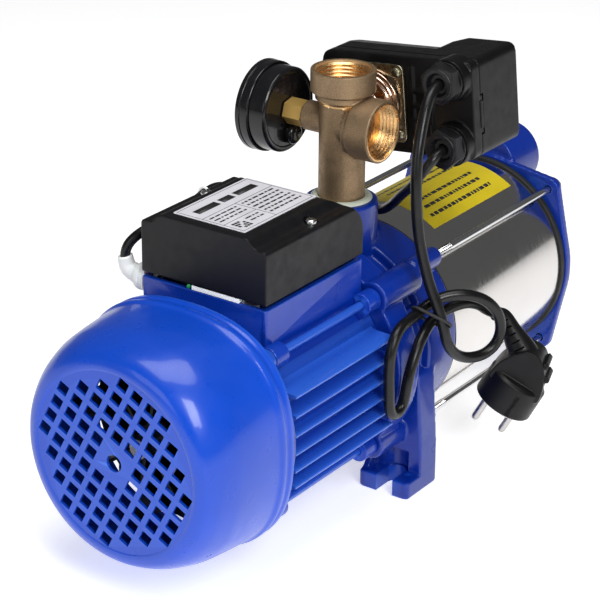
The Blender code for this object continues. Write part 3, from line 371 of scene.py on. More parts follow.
def flex(name, points, radius):
    """A cable as a curve of one open spline."""
    curve = bpy.data.curves.new(name, "CURVE")
    curve.dimensions = "3D"
    curve.bevel_depth = radius * MM
    curve.bevel_resolution = 6
    curve.use_fill_caps = True
    path = route(points, 2.6)
    line = curve.splines.new("POLY")
    line.points.add(len(path) - 1)
    for q, v in zip(line.points, path):
        q.co = (*(v * MM), 1)
    return place(name, curve), path


# ---- material helpers ------------------------------------------------------
def look(name, colour, rough, metal=0, **more):
    m = bpy.data.materials.new(name)
    m.use_nodes = True
    s = m.node_tree.nodes["Principled BSDF"]
    s.inputs["Base Color"].default_value = (*colour, 1)
    s.inputs["Roughness"].default_value = rough
    s.inputs["Metallic"].default_value = metal
    for key, value in more.items():
        s.inputs[key.replace("_", " ").title().replace("Ior", "IOR")].default_value = value
    m.diffuse_color = (*colour, 1)
    return m


def shader(m):
    return m.node_tree.nodes["Principled BSDF"]


def noise(m, scale, detail=3, stretch=(1, 1, 1), kind="ShaderNodeTexNoise"):
    """Texture value in the piece's own space. scale is in turns a metre."""
    tree = m.node_tree
    where = tree.nodes.new("ShaderNodeTexCoord")
    fit = tree.nodes.new("ShaderNodeMapping")
    fit.inputs["Scale"].default_value = stretch
    tex = tree.nodes.new(kind)
    tex.inputs["Scale"].default_value = scale
    if "Detail" in tex.inputs:
        tex.inputs["Detail"].default_value = detail
    tree.links.new(where.outputs["Object"], fit.inputs["Vector"])
    tree.links.new(fit.outputs["Vector"], tex.inputs["Vector"])
    return tex.outputs["Fac" if "Fac" in tex.outputs else "Distance"]


def spread(m, value, low, high, start=0.3, end=0.7):
    node = m.node_tree.nodes.new("ShaderNodeMapRange")
    node.inputs["From Min"].default_value = start
    node.inputs["From Max"].default_value = end
    node.inputs["To Min"].default_value = low
    node.inputs["To Max"].default_value = high
    m.node_tree.links.new(value, node.inputs["Value"])
    return node.outputs["Result"]


def vary_rough(m, value, low, high):
    m.node_tree.links.new(spread(m, value, low, high), shader(m).inputs["Roughness"])


def vary_colour(m, value, other, low=0, high=1, start=0.3, end=0.7):
    """Mixes the colour so far with another by a texture value."""
    tree = m.node_tree
    target = shader(m).inputs["Base Color"]
    mix = tree.nodes.new("ShaderNodeMix")
    mix.data_type = "RGBA"
    tree.links.new(spread(m, value, low, high, start, end), mix.inputs["Factor"])
    if target.is_linked:
        tree.links.new(target.links[0].from_socket, mix.inputs["A"])
    else:
        mix.inputs["A"].default_value = target.default_value
    mix.inputs["B"].default_value = (*other, 1)
    tree.links.new(mix.outputs["Result"], target)


def relief(m, value, depth, strength=1):
    """Surface relief, depth in millimetres. A second call adds to the first."""
    tree = m.node_tree
    node = tree.nodes.new("ShaderNodeBump")
    node.inputs["Distance"].default_value = depth * MM
    node.inputs["Strength"].default_value = strength
    tree.links.new(value, node.inputs["Height"])
    target = shader(m).inputs["Normal"]
    if target.is_linked:
        tree.links.new(target.links[0].from_socket, node.inputs["Normal"])
    tree.links.new(node.outputs["Normal"], target)


def edges(m):
    """How proud an edge stands: about 0.5 on flats, more on ridges."""
    node = m.node_tree.nodes.new("ShaderNodeNewGeometry")
    return node.outputs["Pointiness"]


# ---- materials -------------------------------------------------------------
def shade(colour, share):
    return tuple(c * share for c in colour)


def paint(name, colour, edge_highlight, sand):
    """Gloss paint with orange peel, and a painted highlight in a lighter blue on its ridges. sand is the
    depth of the casting's grain under it.
    """
    m = look(name, colour, 0.3, coat_weight=0.35, coat_roughness=0.09, specular_ior_level=0.3)
    vary_colour(m, noise(m, 25), shade(colour, 0.8), 0, 0.6)
    # painted highlight: the ridges and edges take the lighter colour, as if lit
    vary_colour(m, edges(m), edge_highlight, 0, 0.55, 0.52, 0.6)
    vary_rough(m, noise(m, 90), 0.25, 0.38)
    relief(m, noise(m, 380, 1), 0.012, 0.4)
    if sand:
        relief(m, noise(m, 900, 2), sand, 0.6)
    return m


def moulding(name, colour, rough, grain, depth, **more):
    """Moulded plastic or rubber with a fine spark-eroded grain, and a painted highlight on its ridges."""
    m = look(name, colour, rough, **more)
    vary_colour(m, noise(m, 40), shade(colour, 1.5), 0, 0.35)
    # painted highlight: ridges and edges turn lighter, as if catching the light
    vary_colour(m, edges(m), tuple(c * 2.4 + 0.004 for c in colour), 0, 0.5, 0.53, 0.62)
    vary_rough(m, noise(m, 150), rough - 0.05, rough + 0.09)
    relief(m, noise(m, grain, 2), depth, 0.6)
    return m


def metal(name, colour, rough, stretch, depth=0.006, stain=0.75):
    """Metal with fine lines along the axes where stretch is small."""
    m = look(name, colour, rough, 1)
    lines = noise(m, 1000, 2, stretch)
    vary_colour(m, noise(m, 30), shade(colour, stain), 0, 0.6)
    vary_rough(m, lines, rough * 0.7, rough * 1.5)
    relief(m, lines, depth, 0.5)
    return m


def cast_brass():
    m = look("cast_brass", (0.3, 0.2, 0.115), 0.5, 0.85)
    vary_colour(m, noise(m, 70), (0.19, 0.13, 0.08), 0, 0.8)
    vary_colour(m, noise(m, 1500, 1), (0.46, 0.33, 0.19), 0, 0.5)
    vary_colour(m, edges(m), (0.72, 0.5, 0.27), 0, 0.8, 0.53, 0.62)
    vary_rough(m, noise(m, 260), 0.46, 0.62)
    relief(m, noise(m, 1300, 2), 0.05, 0.7)
    return m


def foil(name, colour, rough, metallic):
    m = look(name, colour, rough, metallic)
    vary_colour(m, noise(m, 60), shade(colour, 0.86), 0, 0.8)
    vary_rough(m, noise(m, 800, 2, (0.05, 1, 1)), rough - 0.06, rough + 0.08)
    relief(m, noise(m, 120), 0.02, 0.5)
    return m


def zinc_yellow():
    m = look("zinc_yellow", (0.4, 0.35, 0.24), 0.3, 1)
    vary_colour(m, noise(m, 60), (0.27, 0.29, 0.21), 0, 0.6)
    vary_colour(m, noise(m, 35), (0.34, 0.24, 0.21), 0, 0.5, 0.5, 0.7)
    vary_colour(m, edges(m), (0.8, 0.76, 0.66), 0, 0.8, 0.53, 0.62)
    vary_rough(m, noise(m, 300), 0.2, 0.36)
    relief(m, noise(m, 700), 0.01, 0.5)
    return m


def laminated():
    m = look("laminated_steel", (0.32, 0.32, 0.33), 0.45, 1)
    stack = noise(m, 1, stretch=(2000, 0.001, 0.001))
    vary_colour(m, stack, (0.18, 0.17, 0.16), 0, 1)
    relief(m, stack, 0.1)
    vary_rough(m, noise(m, 200), 0.35, 0.6)
    return m


def clear(name):
    m = look(name, (0.96, 0.98, 0.98), 0.04, transmission_weight=1, ior=1.49)
    vary_rough(m, noise(m, 90), 0.02, 0.06)
    return m


# the third colour of each paint is its painted highlight on ridges and edges
PAINT = paint("blue_paint_cast", (0.0015, 0.026, 0.29), (0.02, 0.12, 0.62), 0.05)
PAINT_SMOOTH = paint("blue_paint_smooth", (0.002, 0.036, 0.38), (0.04, 0.17, 0.75), 0)
BLUE_PLASTIC = paint("blue_plastic", (0.004, 0.066, 0.56), (0.05, 0.2, 0.85), 0)
CASE = moulding("black_moulding", (0.004, 0.004, 0.005), 0.4, 1500, 0.02, specular_ior_level=0.26)
SWITCH_BLACK = moulding("black_switch_moulding", (0.003, 0.003, 0.0035), 0.36, 1500, 0.015,
                        specular_ior_level=0.22)
CASE_GLOSS = moulding("black_gloss", (0.006, 0.006, 0.007), 0.2, 300, 0.01, coat_weight=0.25,
                      specular_ior_level=0.3)
NUTS = moulding("black_nylon", (0.006, 0.006, 0.007), 0.36, 900, 0.02, specular_ior_level=0.35)
SHEATH = moulding("cable_sheath", (0.004, 0.004, 0.0045), 0.3, 600, 0.015, specular_ior_level=0.35)
PLUG_RUBBER = moulding("plug_rubber", (0.003, 0.003, 0.0035), 0.4, 1400, 0.02, specular_ior_level=0.25)
RUBBER = moulding("black_rubber", (0.012, 0.012, 0.012), 0.6, 1200, 0.03)
WHITE = moulding("white_nylon", (0.8, 0.8, 0.79), 0.4, 800, 0.01, subsurface_weight=0.1)
SEALANT = moulding("sealant", (0.55, 0.6, 0.5), 0.45, 500, 0.1)
GREEN = moulding("green_sleeve", (0.01, 0.22, 0.06), 0.4, 800, 0.01)
GREY = moulding("grey_nylon", (0.16, 0.16, 0.17), 0.42, 900, 0.015)
CERAMIC = moulding("seal_ceramic", (0.7, 0.68, 0.62), 0.25, 1500, 0.005)
BARREL = metal("polished_stainless", (0.66, 0.64, 0.62), 0.13, (1, 0.004, 0.004), 0.002, 0.93)
BOLT = metal("bright_zinc", (0.7, 0.7, 0.7), 0.2, (0.03, 1, 1), 0.004, 0.8)
STEEL = metal("turned_steel", (0.45, 0.45, 0.46), 0.3, (1, 0.01, 0.01), 0.008)
STAMPED = metal("stamped_steel", (0.58, 0.57, 0.55), 0.28, (1, 0.02, 0.02), 0.006)
NICKEL = metal("nickel_pins", (0.52, 0.5, 0.48), 0.34, (1, 1, 0.02), 0.003)
DOME = metal("copper_chrome", (0.86, 0.6, 0.48), 0.13, (1, 0.02, 0.02), 0.004, 0.7)
THREAD = metal("cut_brass", (0.84, 0.54, 0.25), 0.3, (1, 1, 1), 0.001, 0.85)
HEXAGON = foil("machined_brass", (0.72, 0.46, 0.13), 0.34, 0.55)
COPPER = metal("enamelled_copper", (0.6, 0.2, 0.07), 0.3, (0.2, 1, 1), 0.1)
BRASS = cast_brass()
ZINC = zinc_yellow()
LAMINATED = laminated()
SILVER_FOIL = foil("silver_foil", (0.8, 0.79, 0.84), 0.38, 0.05)
YELLOW_FOIL = foil("yellow_foil", (0.72, 0.56, 0.012), 0.38, 0)
INK = foil("printed_ink", (0.02, 0.02, 0.022), 0.45, 0)
DIAL_WHITE = foil("dial_white", (0.82, 0.82, 0.8), 0.5, 0)
GLASS = clear("window")


def wear(o, *materials):
    o.data.materials.clear()
    for m in materials:
        o.data.materials.append(m)
    return o


def dress(o, materials, slot, *nodes, body="root"):
    """Gives a piece its material and its body, and hides the CAD nodes it stands for. slot is not used."""
    wear(o, *(materials if isinstance(materials, tuple) else (materials,)))
    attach(o, body)
    if nodes:
        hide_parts(*nodes)
    return o


def pick(o, test, index=1):
    """Gives the faces that pass the test another of the object's materials."""
    for f in o.data.polygons:
        if test(Vector(f.center) / MM, f.normal):
            f.material_index = index


# ---- cords, which come first -----------------------------------------------
LEAD = [(28, -55.8, 253.4), (20, -56, 252.6), (12, -57, 248.6), (5, -58.5, 241), (-0.5, -59.8, 231),
        (-5, -61, 220.5), (-8, -62.2, 209), (-9.3, -63.4, 196), (-9.5, -65, 180), (-9.2, -68, 162.6),
        (-7.6, -73.4, 142), (-5.8, -79.2, 126.5), (-5, -83, 114.5), (-3.6, -84.6, 106), (1, -85.4, 98.6),
        (8, -87, 92.6), (16.6, -90, 89.2), (26.4, -94.2, 89.6), (33.4, -97.6, 95.4), (35.6, -98.7, 105),
        (32.4, -97.1, 115.9), (24.8, -92.4, 125), (14.8, -85.2, 129.9), (5.2, -76.6, 129.6),
        (-4, -70.2, 125.6), (-14, -69.6, 123.4), (-26, -71.4, 124), (-37, -73.4, 124.4),
        (-45.6, -74.6, 120.6), (-50.4, -75, 112), (-51.6, -75, 101), (-51.2, -75, 90), (-50.4, -75, 78.8),
        (-48, -75, 73), (-42.4, -75, 70.6), (-36.8, -75.2, 73), (-34.2, -75.6, 79.6), (-31.4, -76, 90.4),
        (-26.6, -76, 100.2), (-19.6, -75.2, 107.8), (-11, -73.8, 112.6), (-2.6, -73, 115.6),
        (5.6, -74.6, 118.6), (14, -78, 120.8), (23.2, -82, 120.8), (31.6, -84.8, 117.4),
        (38.4, -87.1, 112.1), (43.85, -89.4, 108.7)]
LINK = [(28, -60, 213.6), (20, -59.9, 212.6), (14, -58.4, 208.4), (12.4, -53, 200), (14.8, -46, 191.4),
        (21.2, -34, 180), (30, -21.5, 168.4), (37.6, -10, 160), (40.4, 2, 156.6), (35, 15.6, 155),
        (24, 27.6, 153.2), (10, 36.6, 153.4), (-8, 43.2, 160), (-24, 47.2, 172), (-40, 48.6, 184),
        (-54, 48.8, 189.2), (-68, 48.6, 188.6), (-84, 48.6, 184.6), (-98, 49.6, 182.4), (-110, 52, 181.8),
        (-118.6, 56, 178.6), (-123, 60.4, 172.6), (-124.2, 62.2, 165.4), (-123.6, 60.6, 158.6),
        (-122.8, 56, 155.8), (-122.6, 51, 155.2), (-122.6, 47, 155.2)]
# the plug's own frame: back from the pin face, sideways, and through its thickness
FACE = Vector((47.3, -96, 48.7))
PA = Vector((0.222, -0.42, 0.88)).normalized()
PE = Vector((0.292, -0.831, -0.471))
PE = (PE - PA * PE.dot(PA)).normalized()
PF = PA.cross(PE)
PLUG = Matrix.Translation(FACE * MM) @ Matrix((PE, PF, PA)).transposed().to_4x4()
PIN_TURN = radians(15)
PIN_HALF = 9.5
# along the line of the two pins, and square to it
PIN_LINE = PE * cos(PIN_TURN) + PF * sin(PIN_TURN)
CLIP_LINE = PF * cos(PIN_TURN) - PE * sin(PIN_TURN)


def on_plug(a, e, f=0):
    return FACE + PA * a + PE * e + PF * f


def at_clip(o, sign):
    """Moves a block onto one side of the plug: its Y points outward and its Z along the plug's axis."""
    turn = Matrix((CLIP_LINE.cross(PA), CLIP_LINE * sign, PA)).transposed().to_4x4()
    o.data.transform(Matrix.Translation(FACE * MM) @ turn)
    return o


def boot_centre():
    """Centreline and radius of the plug's boot, from the neck to the lead."""
    stops = [(*on_plug(24, 3), 10.6), (*on_plug(30, 0), 10.4), (*on_plug(36, -7.5), 9.4),
             (*on_plug(42, -17.4), 7.8), (*on_plug(48.2, -27.5), 6), (47.5, -90.95, 106.4, 5),
             (44.2, -89.55, 108.5, 4.6)]
    path = route([s[:3] for s in stops], 0.7)
    radii = []
    for i in range(len(path)):
        at = i / (len(path) - 1) * (len(stops) - 1)
        low = min(int(at), len(stops) - 2)
        radii.append(stops[low][3] + (stops[low + 1][3] - stops[low][3]) * (at - low))
    return path, radii


def plug():
    """Angled plug with a ridged boot, its thumb grip and the two pin collars."""
    solids = [lathe("disc", [(21.5, 0), (21.5, 16.4), (19.5, 18.7), (1, 19), (0, 18.2), (0, 0)], FACE, PA)]
    side = PLUG @ XZ
    neck = [(-18, 15), (-16.6, 26), (-11, 36), (-5, 42.6), (4, 42.6), (10, 37), (15.6, 26), (17.6, 15)]
    solids.append(prism("neck", soft(neck, 4), -11.6, 11.6, side))
    for a, e in ((31, 12.6), (38.6, 7.6)):
        solids.append(prism("grip", soft([(e, a - 2.6), (e + 3.4, a - 1), (e + 3.4, a + 1.6), (e, a + 3)],
                                         0.8), -9, 9, side))
    path, radii = boot_centre()
    solids.append(sweep("boot", path, radii, 28))
    body = cast("plug", solids, 0.5, 4)
    ways = []
    for k in range(5):
        i = int((0.42 + 0.1 * k) * len(path))
        ahead = (path[i + 1] - path[i - 1]).normalized()
        for side_way in (PF, -PF):
            out = (side_way - ahead * side_way.dot(ahead)).normalized()
            middle = path[i] + out * (1.7 * radii[i])
            ways.append(rod(0.55, -0.55, radii[i], middle, ahead, 32))
    for sign in (-1, 1):
        ways.append(rod(14, -3, 2.7, FACE + PIN_LINE * PIN_HALF * sign, PA, 32))
    ways += [at_clip(block("clip_slot", (-2.3, 2.3), (17.4, 22), (-3, 17)), sign) for sign in (-1, 1)]
    cut(body, *ways)
    return thin(body, 0.45)


def pins_and_clips():
    pieces = []
    section = [(11, 0), (11, 2.3), (-16.6, 2.4), (-18.2, 1.9), (-18.9, 0.9), (-19, 0)]
    for n, sign in enumerate((-1, 1)):
        pin = lathe("plug_pin_" + "ab"[n], section, FACE + PIN_LINE * PIN_HALF * sign, PA, 40, 0.3)
        pieces.append(dress(pin, NICKEL, "bright_steel", "plug_pin_%d" % (n + 1)))
        clip = ease(block("plug_clip_" + "ab"[n], (-2, 2), (17, 18.5), (-0.2, 16.4)), 0.3)
        pieces.append(dress(at_clip(clip, sign), NICKEL, "bright_steel"))
    return pieces


def cable_tie(name, centres, radius, thick, middle, u, v, material):
    """A tie drawn tight round several strands that cross one plane."""
    path = []
    for a in round_angles(64):
        d = Vector((cos(a), sin(a)))
        q = Vector(max(centres, key=lambda c: Vector(c).dot(d))) + d * radius
        path.append(middle + u * q.x + v * q.y)
    dress(sweep(name, path, [thick] * 64, 10, closed=True), material, "cable_sheath")


def cords():
    lead, path = flex("mains_lead_flex", LEAD, 3.4)
    body = dress(plug(), PLUG_RUBBER, "plug_rubber", "plug_body")
    extras = [body] + pins_and_clips()
    dress(lead, SHEATH, "cable_sheath", "mains_lead")
    dress(flex("link_cable_flex", LINK, 3)[0], SHEATH, "cable_sheath", "link_cable")
    across = Vector((1, 0, -1)).normalized()
    centre = Vector((-4, -77, 117))
    cable_tie("lead_tie", [(7.4, -10.7), (4, 1.7), (-5.4, -1.1)], 4.7, 1, centre, AY, across, RUBBER)
    cable_tie("link_tie", [(0, 0)], 3.9, 0.8, Vector((-66, 48.6, 188.8)), AY, AZ, WHITE)


# ---- motor -----------------------------------------------------------------
def squircle(x, r, square, sides=192):
    """Ring of points on the cover's section, which swells towards its rounded corners."""
    ring = []
    for a in round_angles(sides):
        k = r * (1 - square * cos(4 * a))
        ring.append(Vector((x, k * cos(a), SHAFT + k * sin(a))) * MM)
    return ring


def fan_cover():
    """Moulded cup: dished edge round a grille of square holes, bead and flange at the rim."""
    face = -END
    outer = [(face + 0.5, 54.6, 0), (face + 0.4, 55, 0), (face, 55.6, 0), (face, 57.2, 0)]
    shoulder = [(-213.1, 58.4, 0), (-212.2, 61, 0.001), (-210.8, 63, 0.003), (-208.6, 64.8, 0.006),
                (-205.6, 66.6, 0.01), (-202, 68.2, 0.013), (-196.5, 69.9, 0.017), (-190, 71.4, 0.021),
                (-181, 72.4, 0.024), (-172, 73.1, 0.027), (-163, 73.6, 0.03), (-157.5, 73.9, 0.031)]
    outer += [tuple(p) for p in route(shoulder, 1.6)]
    outer += [(-155.6, 74.1, 0.032), (-154.6, 74.7, 0.033), (-153.4, 75.2, 0.034), (-152, 75.4, 0.034),
              (-150.6, 75.2, 0.034), (-149.6, 74.6, 0.034), (-148.8, 74.3, 0.034), (-147.6, 74.4, 0.034),
              (-146.8, 74.9, 0.034), (-145.8, 75.2, 0.034), (-143.6, 75.2, 0.034), (-143.2, 74.9, 0.034)]
    inner = [(-143.2, 73.1, 0.034), (-143.4, 72.9, 0.034)]
    back = [(-154, 72.1, 0.032), (-172, 71.2, 0.027), (-189, 69.6, 0.021), (-201, 66.4, 0.013),
            (-207.4, 62.8, 0.006), (-210.8, 58.5, 0.001), (-211, 54, 0)]
    inner += [tuple(p) for p in route(back, 2.5)]
    o = skin("fan_cover_moulding", [squircle(*station) for station in outer + inner], caps=True)
    pitch, side, tilt = 10.58, 7.1, radians(26.9)
    holes = []
    for i in range(-5, 5):
        for j in range(-5, 5):
            u, v = i + 0.5, j + 0.5
            if hypot(u, v) > 4.9 or (abs(u) < 1 and abs(v) < 1):
                continue
            y = (-cos(tilt) * u + sin(tilt) * v) * pitch
            z = (-sin(tilt) * u - cos(tilt) * v) * pitch
            hole = prism("hole", rounded(-side / 2, side / 2, -side / 2, side / 2, 0.5, 2), face - 4, face
                         + 4, YZ)
            hole.data.transform(Matrix.Translation(Vector((0, y, SHAFT + z)) * MM)
                                @ Matrix.Rotation(tilt, 4, "X"))
            holes.append(hole)
    holes.append(rod(face + 5, face - 4, 5.2, sides=40))
    cut(o, merge("grille", holes))
    ease(o, 0.35, 2, 60)
    dress(o, BLUE_PLASTIC, "blue_plastic", "fan_cover")


def fin(zc, half, reach, side, x0=-136.9, x1=-37, down=False):
    """Cooling fin with a rounded tip and a flared root, drawn from the shaft's line outwards."""
    root = sqrt(61 ** 2 - zc ** 2)
    half_section = [(44, half + 1.6), (root - 0.5, half + 1.6), (root + 1, half + 0.5),
                    (root + 3, half + 0.15), (reach - 0.8, half - 0.1), (reach - 0.2, half - 0.45),
                    (reach, half - 0.9)]
    outline = half_section + [(u, -v) for u, v in reversed(half_section)]
    if down:
        flat = [(zc + v, SHAFT - u) for u, v in outline]
    else:
        flat = [(side * u, SHAFT + zc + v) for u, v in outline]
    return prism("fin", flat, x0, x1, YZ)


def motor_housing():
    x0, x1 = -137, -32.4
    body = lathe("motor_housing_casting", [(x1, 0), (x1, 60.4), (x1 - 0.6, 61), (x0 + 0.6, 61), (x0, 60.4),
                                           (x0, 0)], sides=160)
    tools = [fin(z, 1.25, 69, side) for z in (30, 17.6, 5.6, -5.8, -16.6, -26.6) for side in (-1, 1)]
    tools += [fin(y, 1.25, 67.5, 1, down=True) for y in (-30, -15, 0, 15, 30)]
    for at in BOLTS:
        turn, reach = outward(at)
        for start in (x0, x1 - 12):
            tools.append(block("web", (start + 0.01, start + 11.9), (56, reach), (SHAFT - 6.4, SHAFT + 6.4),
                               turn))
            tools.append(rod(start + 12, start, 7, at, sides=48, radius=0.8))
    pedestal = prism("pedestal", rounded(*BOX_X, -BOX_Y, BOX_Y, 2.2), SHAFT + 30, 160)
    tools.append(ease(pedestal, 0.6))
    join(body, *tools)
    ways = [prism("hollow", rounded(-128.7, -37.9, -41, 41, 1.5), 150.5, 166)]
    ways.append(rod(x1 + 5, x0 - 5, 56.3, sides=160))
    ways += [rod(x1 + 6, x0 - 6, 3, at, sides=24) for at in BOLTS]
    ways.append(rod(46, 38, 4.4, BOX_GLAND, AY, 32))
    cut(body, *ways)
    dress(crisp(body, 34), PAINT_SMOOTH, "blue_aluminium", "motor_housing")


def hex_head(name, at, axis, depth, flats, phase=0):
    """Hexagon with its corners turned off at the outer end."""
    head = prism(name, hexagon(flats, phase), 0, depth)
    r = flats / sqrt(3)
    dome = lathe("dome", [(depth, 0), (depth, flats * 0.47), (depth - (r - flats * 0.47) * 0.5, r + 0.05),
                          (0, r + 0.05), (0, 0)], (0, 0, 0), AZ, 48)
    boolean(head, "INTERSECT", [dome])
    head.data.transform(stand(at, axis))
    return crisp(head, 25)


def threaded(name, at, axis, start, end, r, pitch=1, depth=0.35, sides=32):
    """Bar with thread crests between start and end along the axis."""
    section = [(start, 0)]
    turns = int((end - start) / pitch)
    for k in range(turns):
        section += [(start + k * pitch, r - depth), (start + (k + 0.5) * pitch, r)]
    section += [(start + turns * pitch, r - depth), (start + turns * pitch, 0)]
    return lathe(name, section, at, axis, sides)


def through_bolts():
    for n, at in enumerate(BOLTS):
        bar = lathe("bar", [(-12, 0), (-12, 2), (-12.6, 2.5), (-142.3, 2.5), (-142.3, 0)], at, sides=32)
        head = hex_head("head", (-142.3, *at[1:]), -AX, 3.5, 8)
        washer = rod(-142.1, -142.8, 5.6, at, sides=48)
        bolt = crisp(merge("motor_bolt_%d" % (n + 1), [bar, head, washer]), 30)
        dress(bolt, PAINT_SMOOTH, "blue_bolt", "through_bolt_%d" % (n + 1))


def rear_shield():
    section = [(-137.3, 69.5), (-142, 69.5), (-142, 24), (-146, 22), (-146, 8.8), (-143.5, 8.8),
               (-143.5, 17.8), (-141, 17.8), (-137.3, 17.8)]
    o = lathe("rear_shield_casting", section, sides=128, radius=0.8)
    ears = [rod(-137.4, -142, 6.5, at, sides=40) for at in BOLTS]
    ways = [rod(-130, -150, BOLT_HOLE, at, sides=24) for at in BOLTS]
    join(o, *ears)
    cut(o, *ways)
    dress(crisp(o, 34), PAINT, "blue_aluminium", "rear_shield")


# ---- terminal box ----------------------------------------------------------
def lid_solid(name, inset):
    """The cover's outside, or its hollow: a crowned section cut by the rounded far end."""
    x1, y1 = BOX_X[1] - inset, BOX_Y - inset
    low = 160 if inset else 163
    half = [(y1, low), (y1, 193 - inset), (y1 - 0.6, 194.4 - inset), (y1 - 1.8, 195 - inset)]
    for i in range(13):
        t = i / 12
        half.append((37.6 - inset * 0.6 - 8.6 * t, 195.1 - inset + 5.5 * (3 * t * t - 2 * t ** 3)))
    section = half + [(-u, v) for u, v in reversed(half)]
    bar = prism(name, section, BOX_X[0] + inset, x1, YZ)
    end = [(-62, 200.8), (-56, 200), (-50, 197.8), (-45, 194.6), (-41, 191), (-38, 187.4), (-36.2, 184),
           (-35.2, 180.5), (-34.9, 177)]
    end = [(u - inset, v - inset) for u, v in end]
    end = [tuple(p) for p in route([(u, v, 0) for u, v in end], 1)]
    outline = [(-140, low - 1), (-140, 215), (-62 - inset, 215)] + [(p[0], p[1])
                                                                    for p in end] + [(x1, low - 1)]
    return boolean(bar, "INTERSECT", [prism("end", outline, -60, 60, XZ)])


def terminal_cover():
    o = cast("terminal_lid", [lid_solid("lid", 0)], 0.6, 4)
    ways = [lid_solid("hollow", 2.4)]
    for sy in (-1, 1):
        at = (-79, sy * 37, 0)
        ways.append(lathe("pocket", [(210, 0), (210, 4.6), (194.6, 4.4), (194.6, 0)], at, AZ, 40))
        ways.append(rod(200, 180, 2.4, at, AZ, 24))
    cut(o, *ways)
    dress(thin(o, 0.4, 42), CASE, "black_case", "terminal_cover")
    for n, sy in enumerate((-1, 1)):
        at = (-79, sy * 37, 0)
        screw = lathe("box_screw_%d" % (n + 1), [(197.3, 0), (197.3, 2.2), (196.6, 3.4), (194.9, 3.7),
                                                 (194.9, 1.9), (186, 1.9), (186, 0)], at, AZ, 40, 0.3)
        cross = [prism("slot", [(-2.1, -0.35), (2.1, -0.35), (2.1, 0.35), (-2.1, 0.35)], 196, 199),
                 prism("slot", [(-0.35, -2.1), (0.35, -2.1), (0.35, 2.1), (-0.35, 2.1)], 196.01, 199)]
        for c in cross:
            c.data.transform(Matrix.Translation(Vector(at) * MM) @ Matrix.Rotation(0.5, 4, "Z"))
            cut(screw, c)
        dress(crisp(screw, 30), BOLT, "bright_steel", "lid_screw_%d" % (n + 1))


def bars(rects, lift, thick, put=XY):
    """Printed marks: thin plates on a face."""
    return [prism("mark", [(a, c), (b, c), (b, d), (a, d)], lift, lift + thick, put) for a, b, c,
            d in rects]


def plain_row(u, u1, v, height, dice):
    """One row of short bars of uneven length, standing for a line of print."""
    rects = []
    while u < u1 - 1.5:
        w = min(dice.uniform(1.6, 5.5), u1 - u)
        rects.append((u, u + w, v, v + height))
        u += w + 1.1
    return rects


def label():
    """Silver label with a ruled frame and rows of plain bars in place of its print."""
    x0, x1, y0, y1 = -125.3, -55.2, -24.6, 25.9
    plate = ease(prism("box_label", rounded(x0, x1, y0, y1, 1.5), 200.3, 200.85), 0.1)
    dress(plate, SILVER_FOIL, "bright_steel")
    dice = random.Random(5)
    a, b, c, d = x0 + 1.6, x1 - 1.6, y0 + 1.6, y1 - 1.6
    line = 0.35
    rects = [(a, b, c, c + line), (a, b, d - line, d), (a, a + line, c, d), (b - line, b, c, d)]
    rects += [(a, b, 6, 6 + line), (-93, -93 + line, c, 6), (a, -93, -9, -9 + line)]
    rects += [(-118, -98, 12, 17.6), (-95, -84, 12, 17.6), (-81, -62, 12, 17.6)]
    for v in (2.2, -1.4, -5):
        rects += plain_row(-121, -96, v, 1.3, dice)
    for v in (2.2, -1.8, -5.8, -9.8, -13.8, -17.8):
        rects += plain_row(-90.5, -60, v, 1.5, dice)
    for i in range(4):
        for j in range(4):
            if (i * 3 + j * 5) % 4:
                rects.append((-120.5 + i * 2.4, -118.6 + i * 2.4, -20.6 + j * 2.4, -18.7 + j * 2.4))
    rects += plain_row(-108, -96, -13.2, 1.3, dice) + plain_row(-108, -96, -17, 1.3, dice)
    dress(merge("label_print", bars(rects, 200.86, 0.05)), INK, "black_case")


def box_inside():
    """Terminal block with its screw ways, the wires that show in the gap, and the gland."""
    body = ease(block("terminals", (-128, -112), (-26, 8), (151.2, 168)), 0.8)
    cut(body, *[rod(170, 163, 2.6, (-120, -21 + 8 * k, 0), AZ, 24) for k in range(4)])
    join(body, block("sill", (-131.5, -127), (-25, 8), (160.4, 162.9)))
    dress(crisp(body), WHITE, "white_plastic", "terminal_block")
    wire = route([(-122, 12.6, 152), (-127.5, 12, 157), (-130.2, 11.2, 160.6), (-130.6, 10.4, 162.2),
                  (-126, 11.4, 165), (-118, 12, 166)], 0.8)
    dress(sweep("earth_wire", wire, [1.2] * len(wire), 14), GREEN, "cable_sheath")
    gland = [(53, 3.3), (53, 6.6), (51.6, 8.2), (49, 8.4), (48.6, 7.9), (48, 8.4), (45.8, 8.4), (44.3, 9),
             (44.3, 4), (38.5, 4), (38.5, 3.3)]
    o = lathe("box_gland_body", gland, BOX_GLAND, AY, 64, 0.3)
    dress(crisp(o), WHITE, "white_plastic", "box_gland")
    path = route(LINK[-5:-1], 0.8)
    boot = sweep("gland_boot", path, [4.4 + 1.9 * k / len(path) for k in range(len(path))], 28)
    dress(boot, WHITE, "white_plastic")


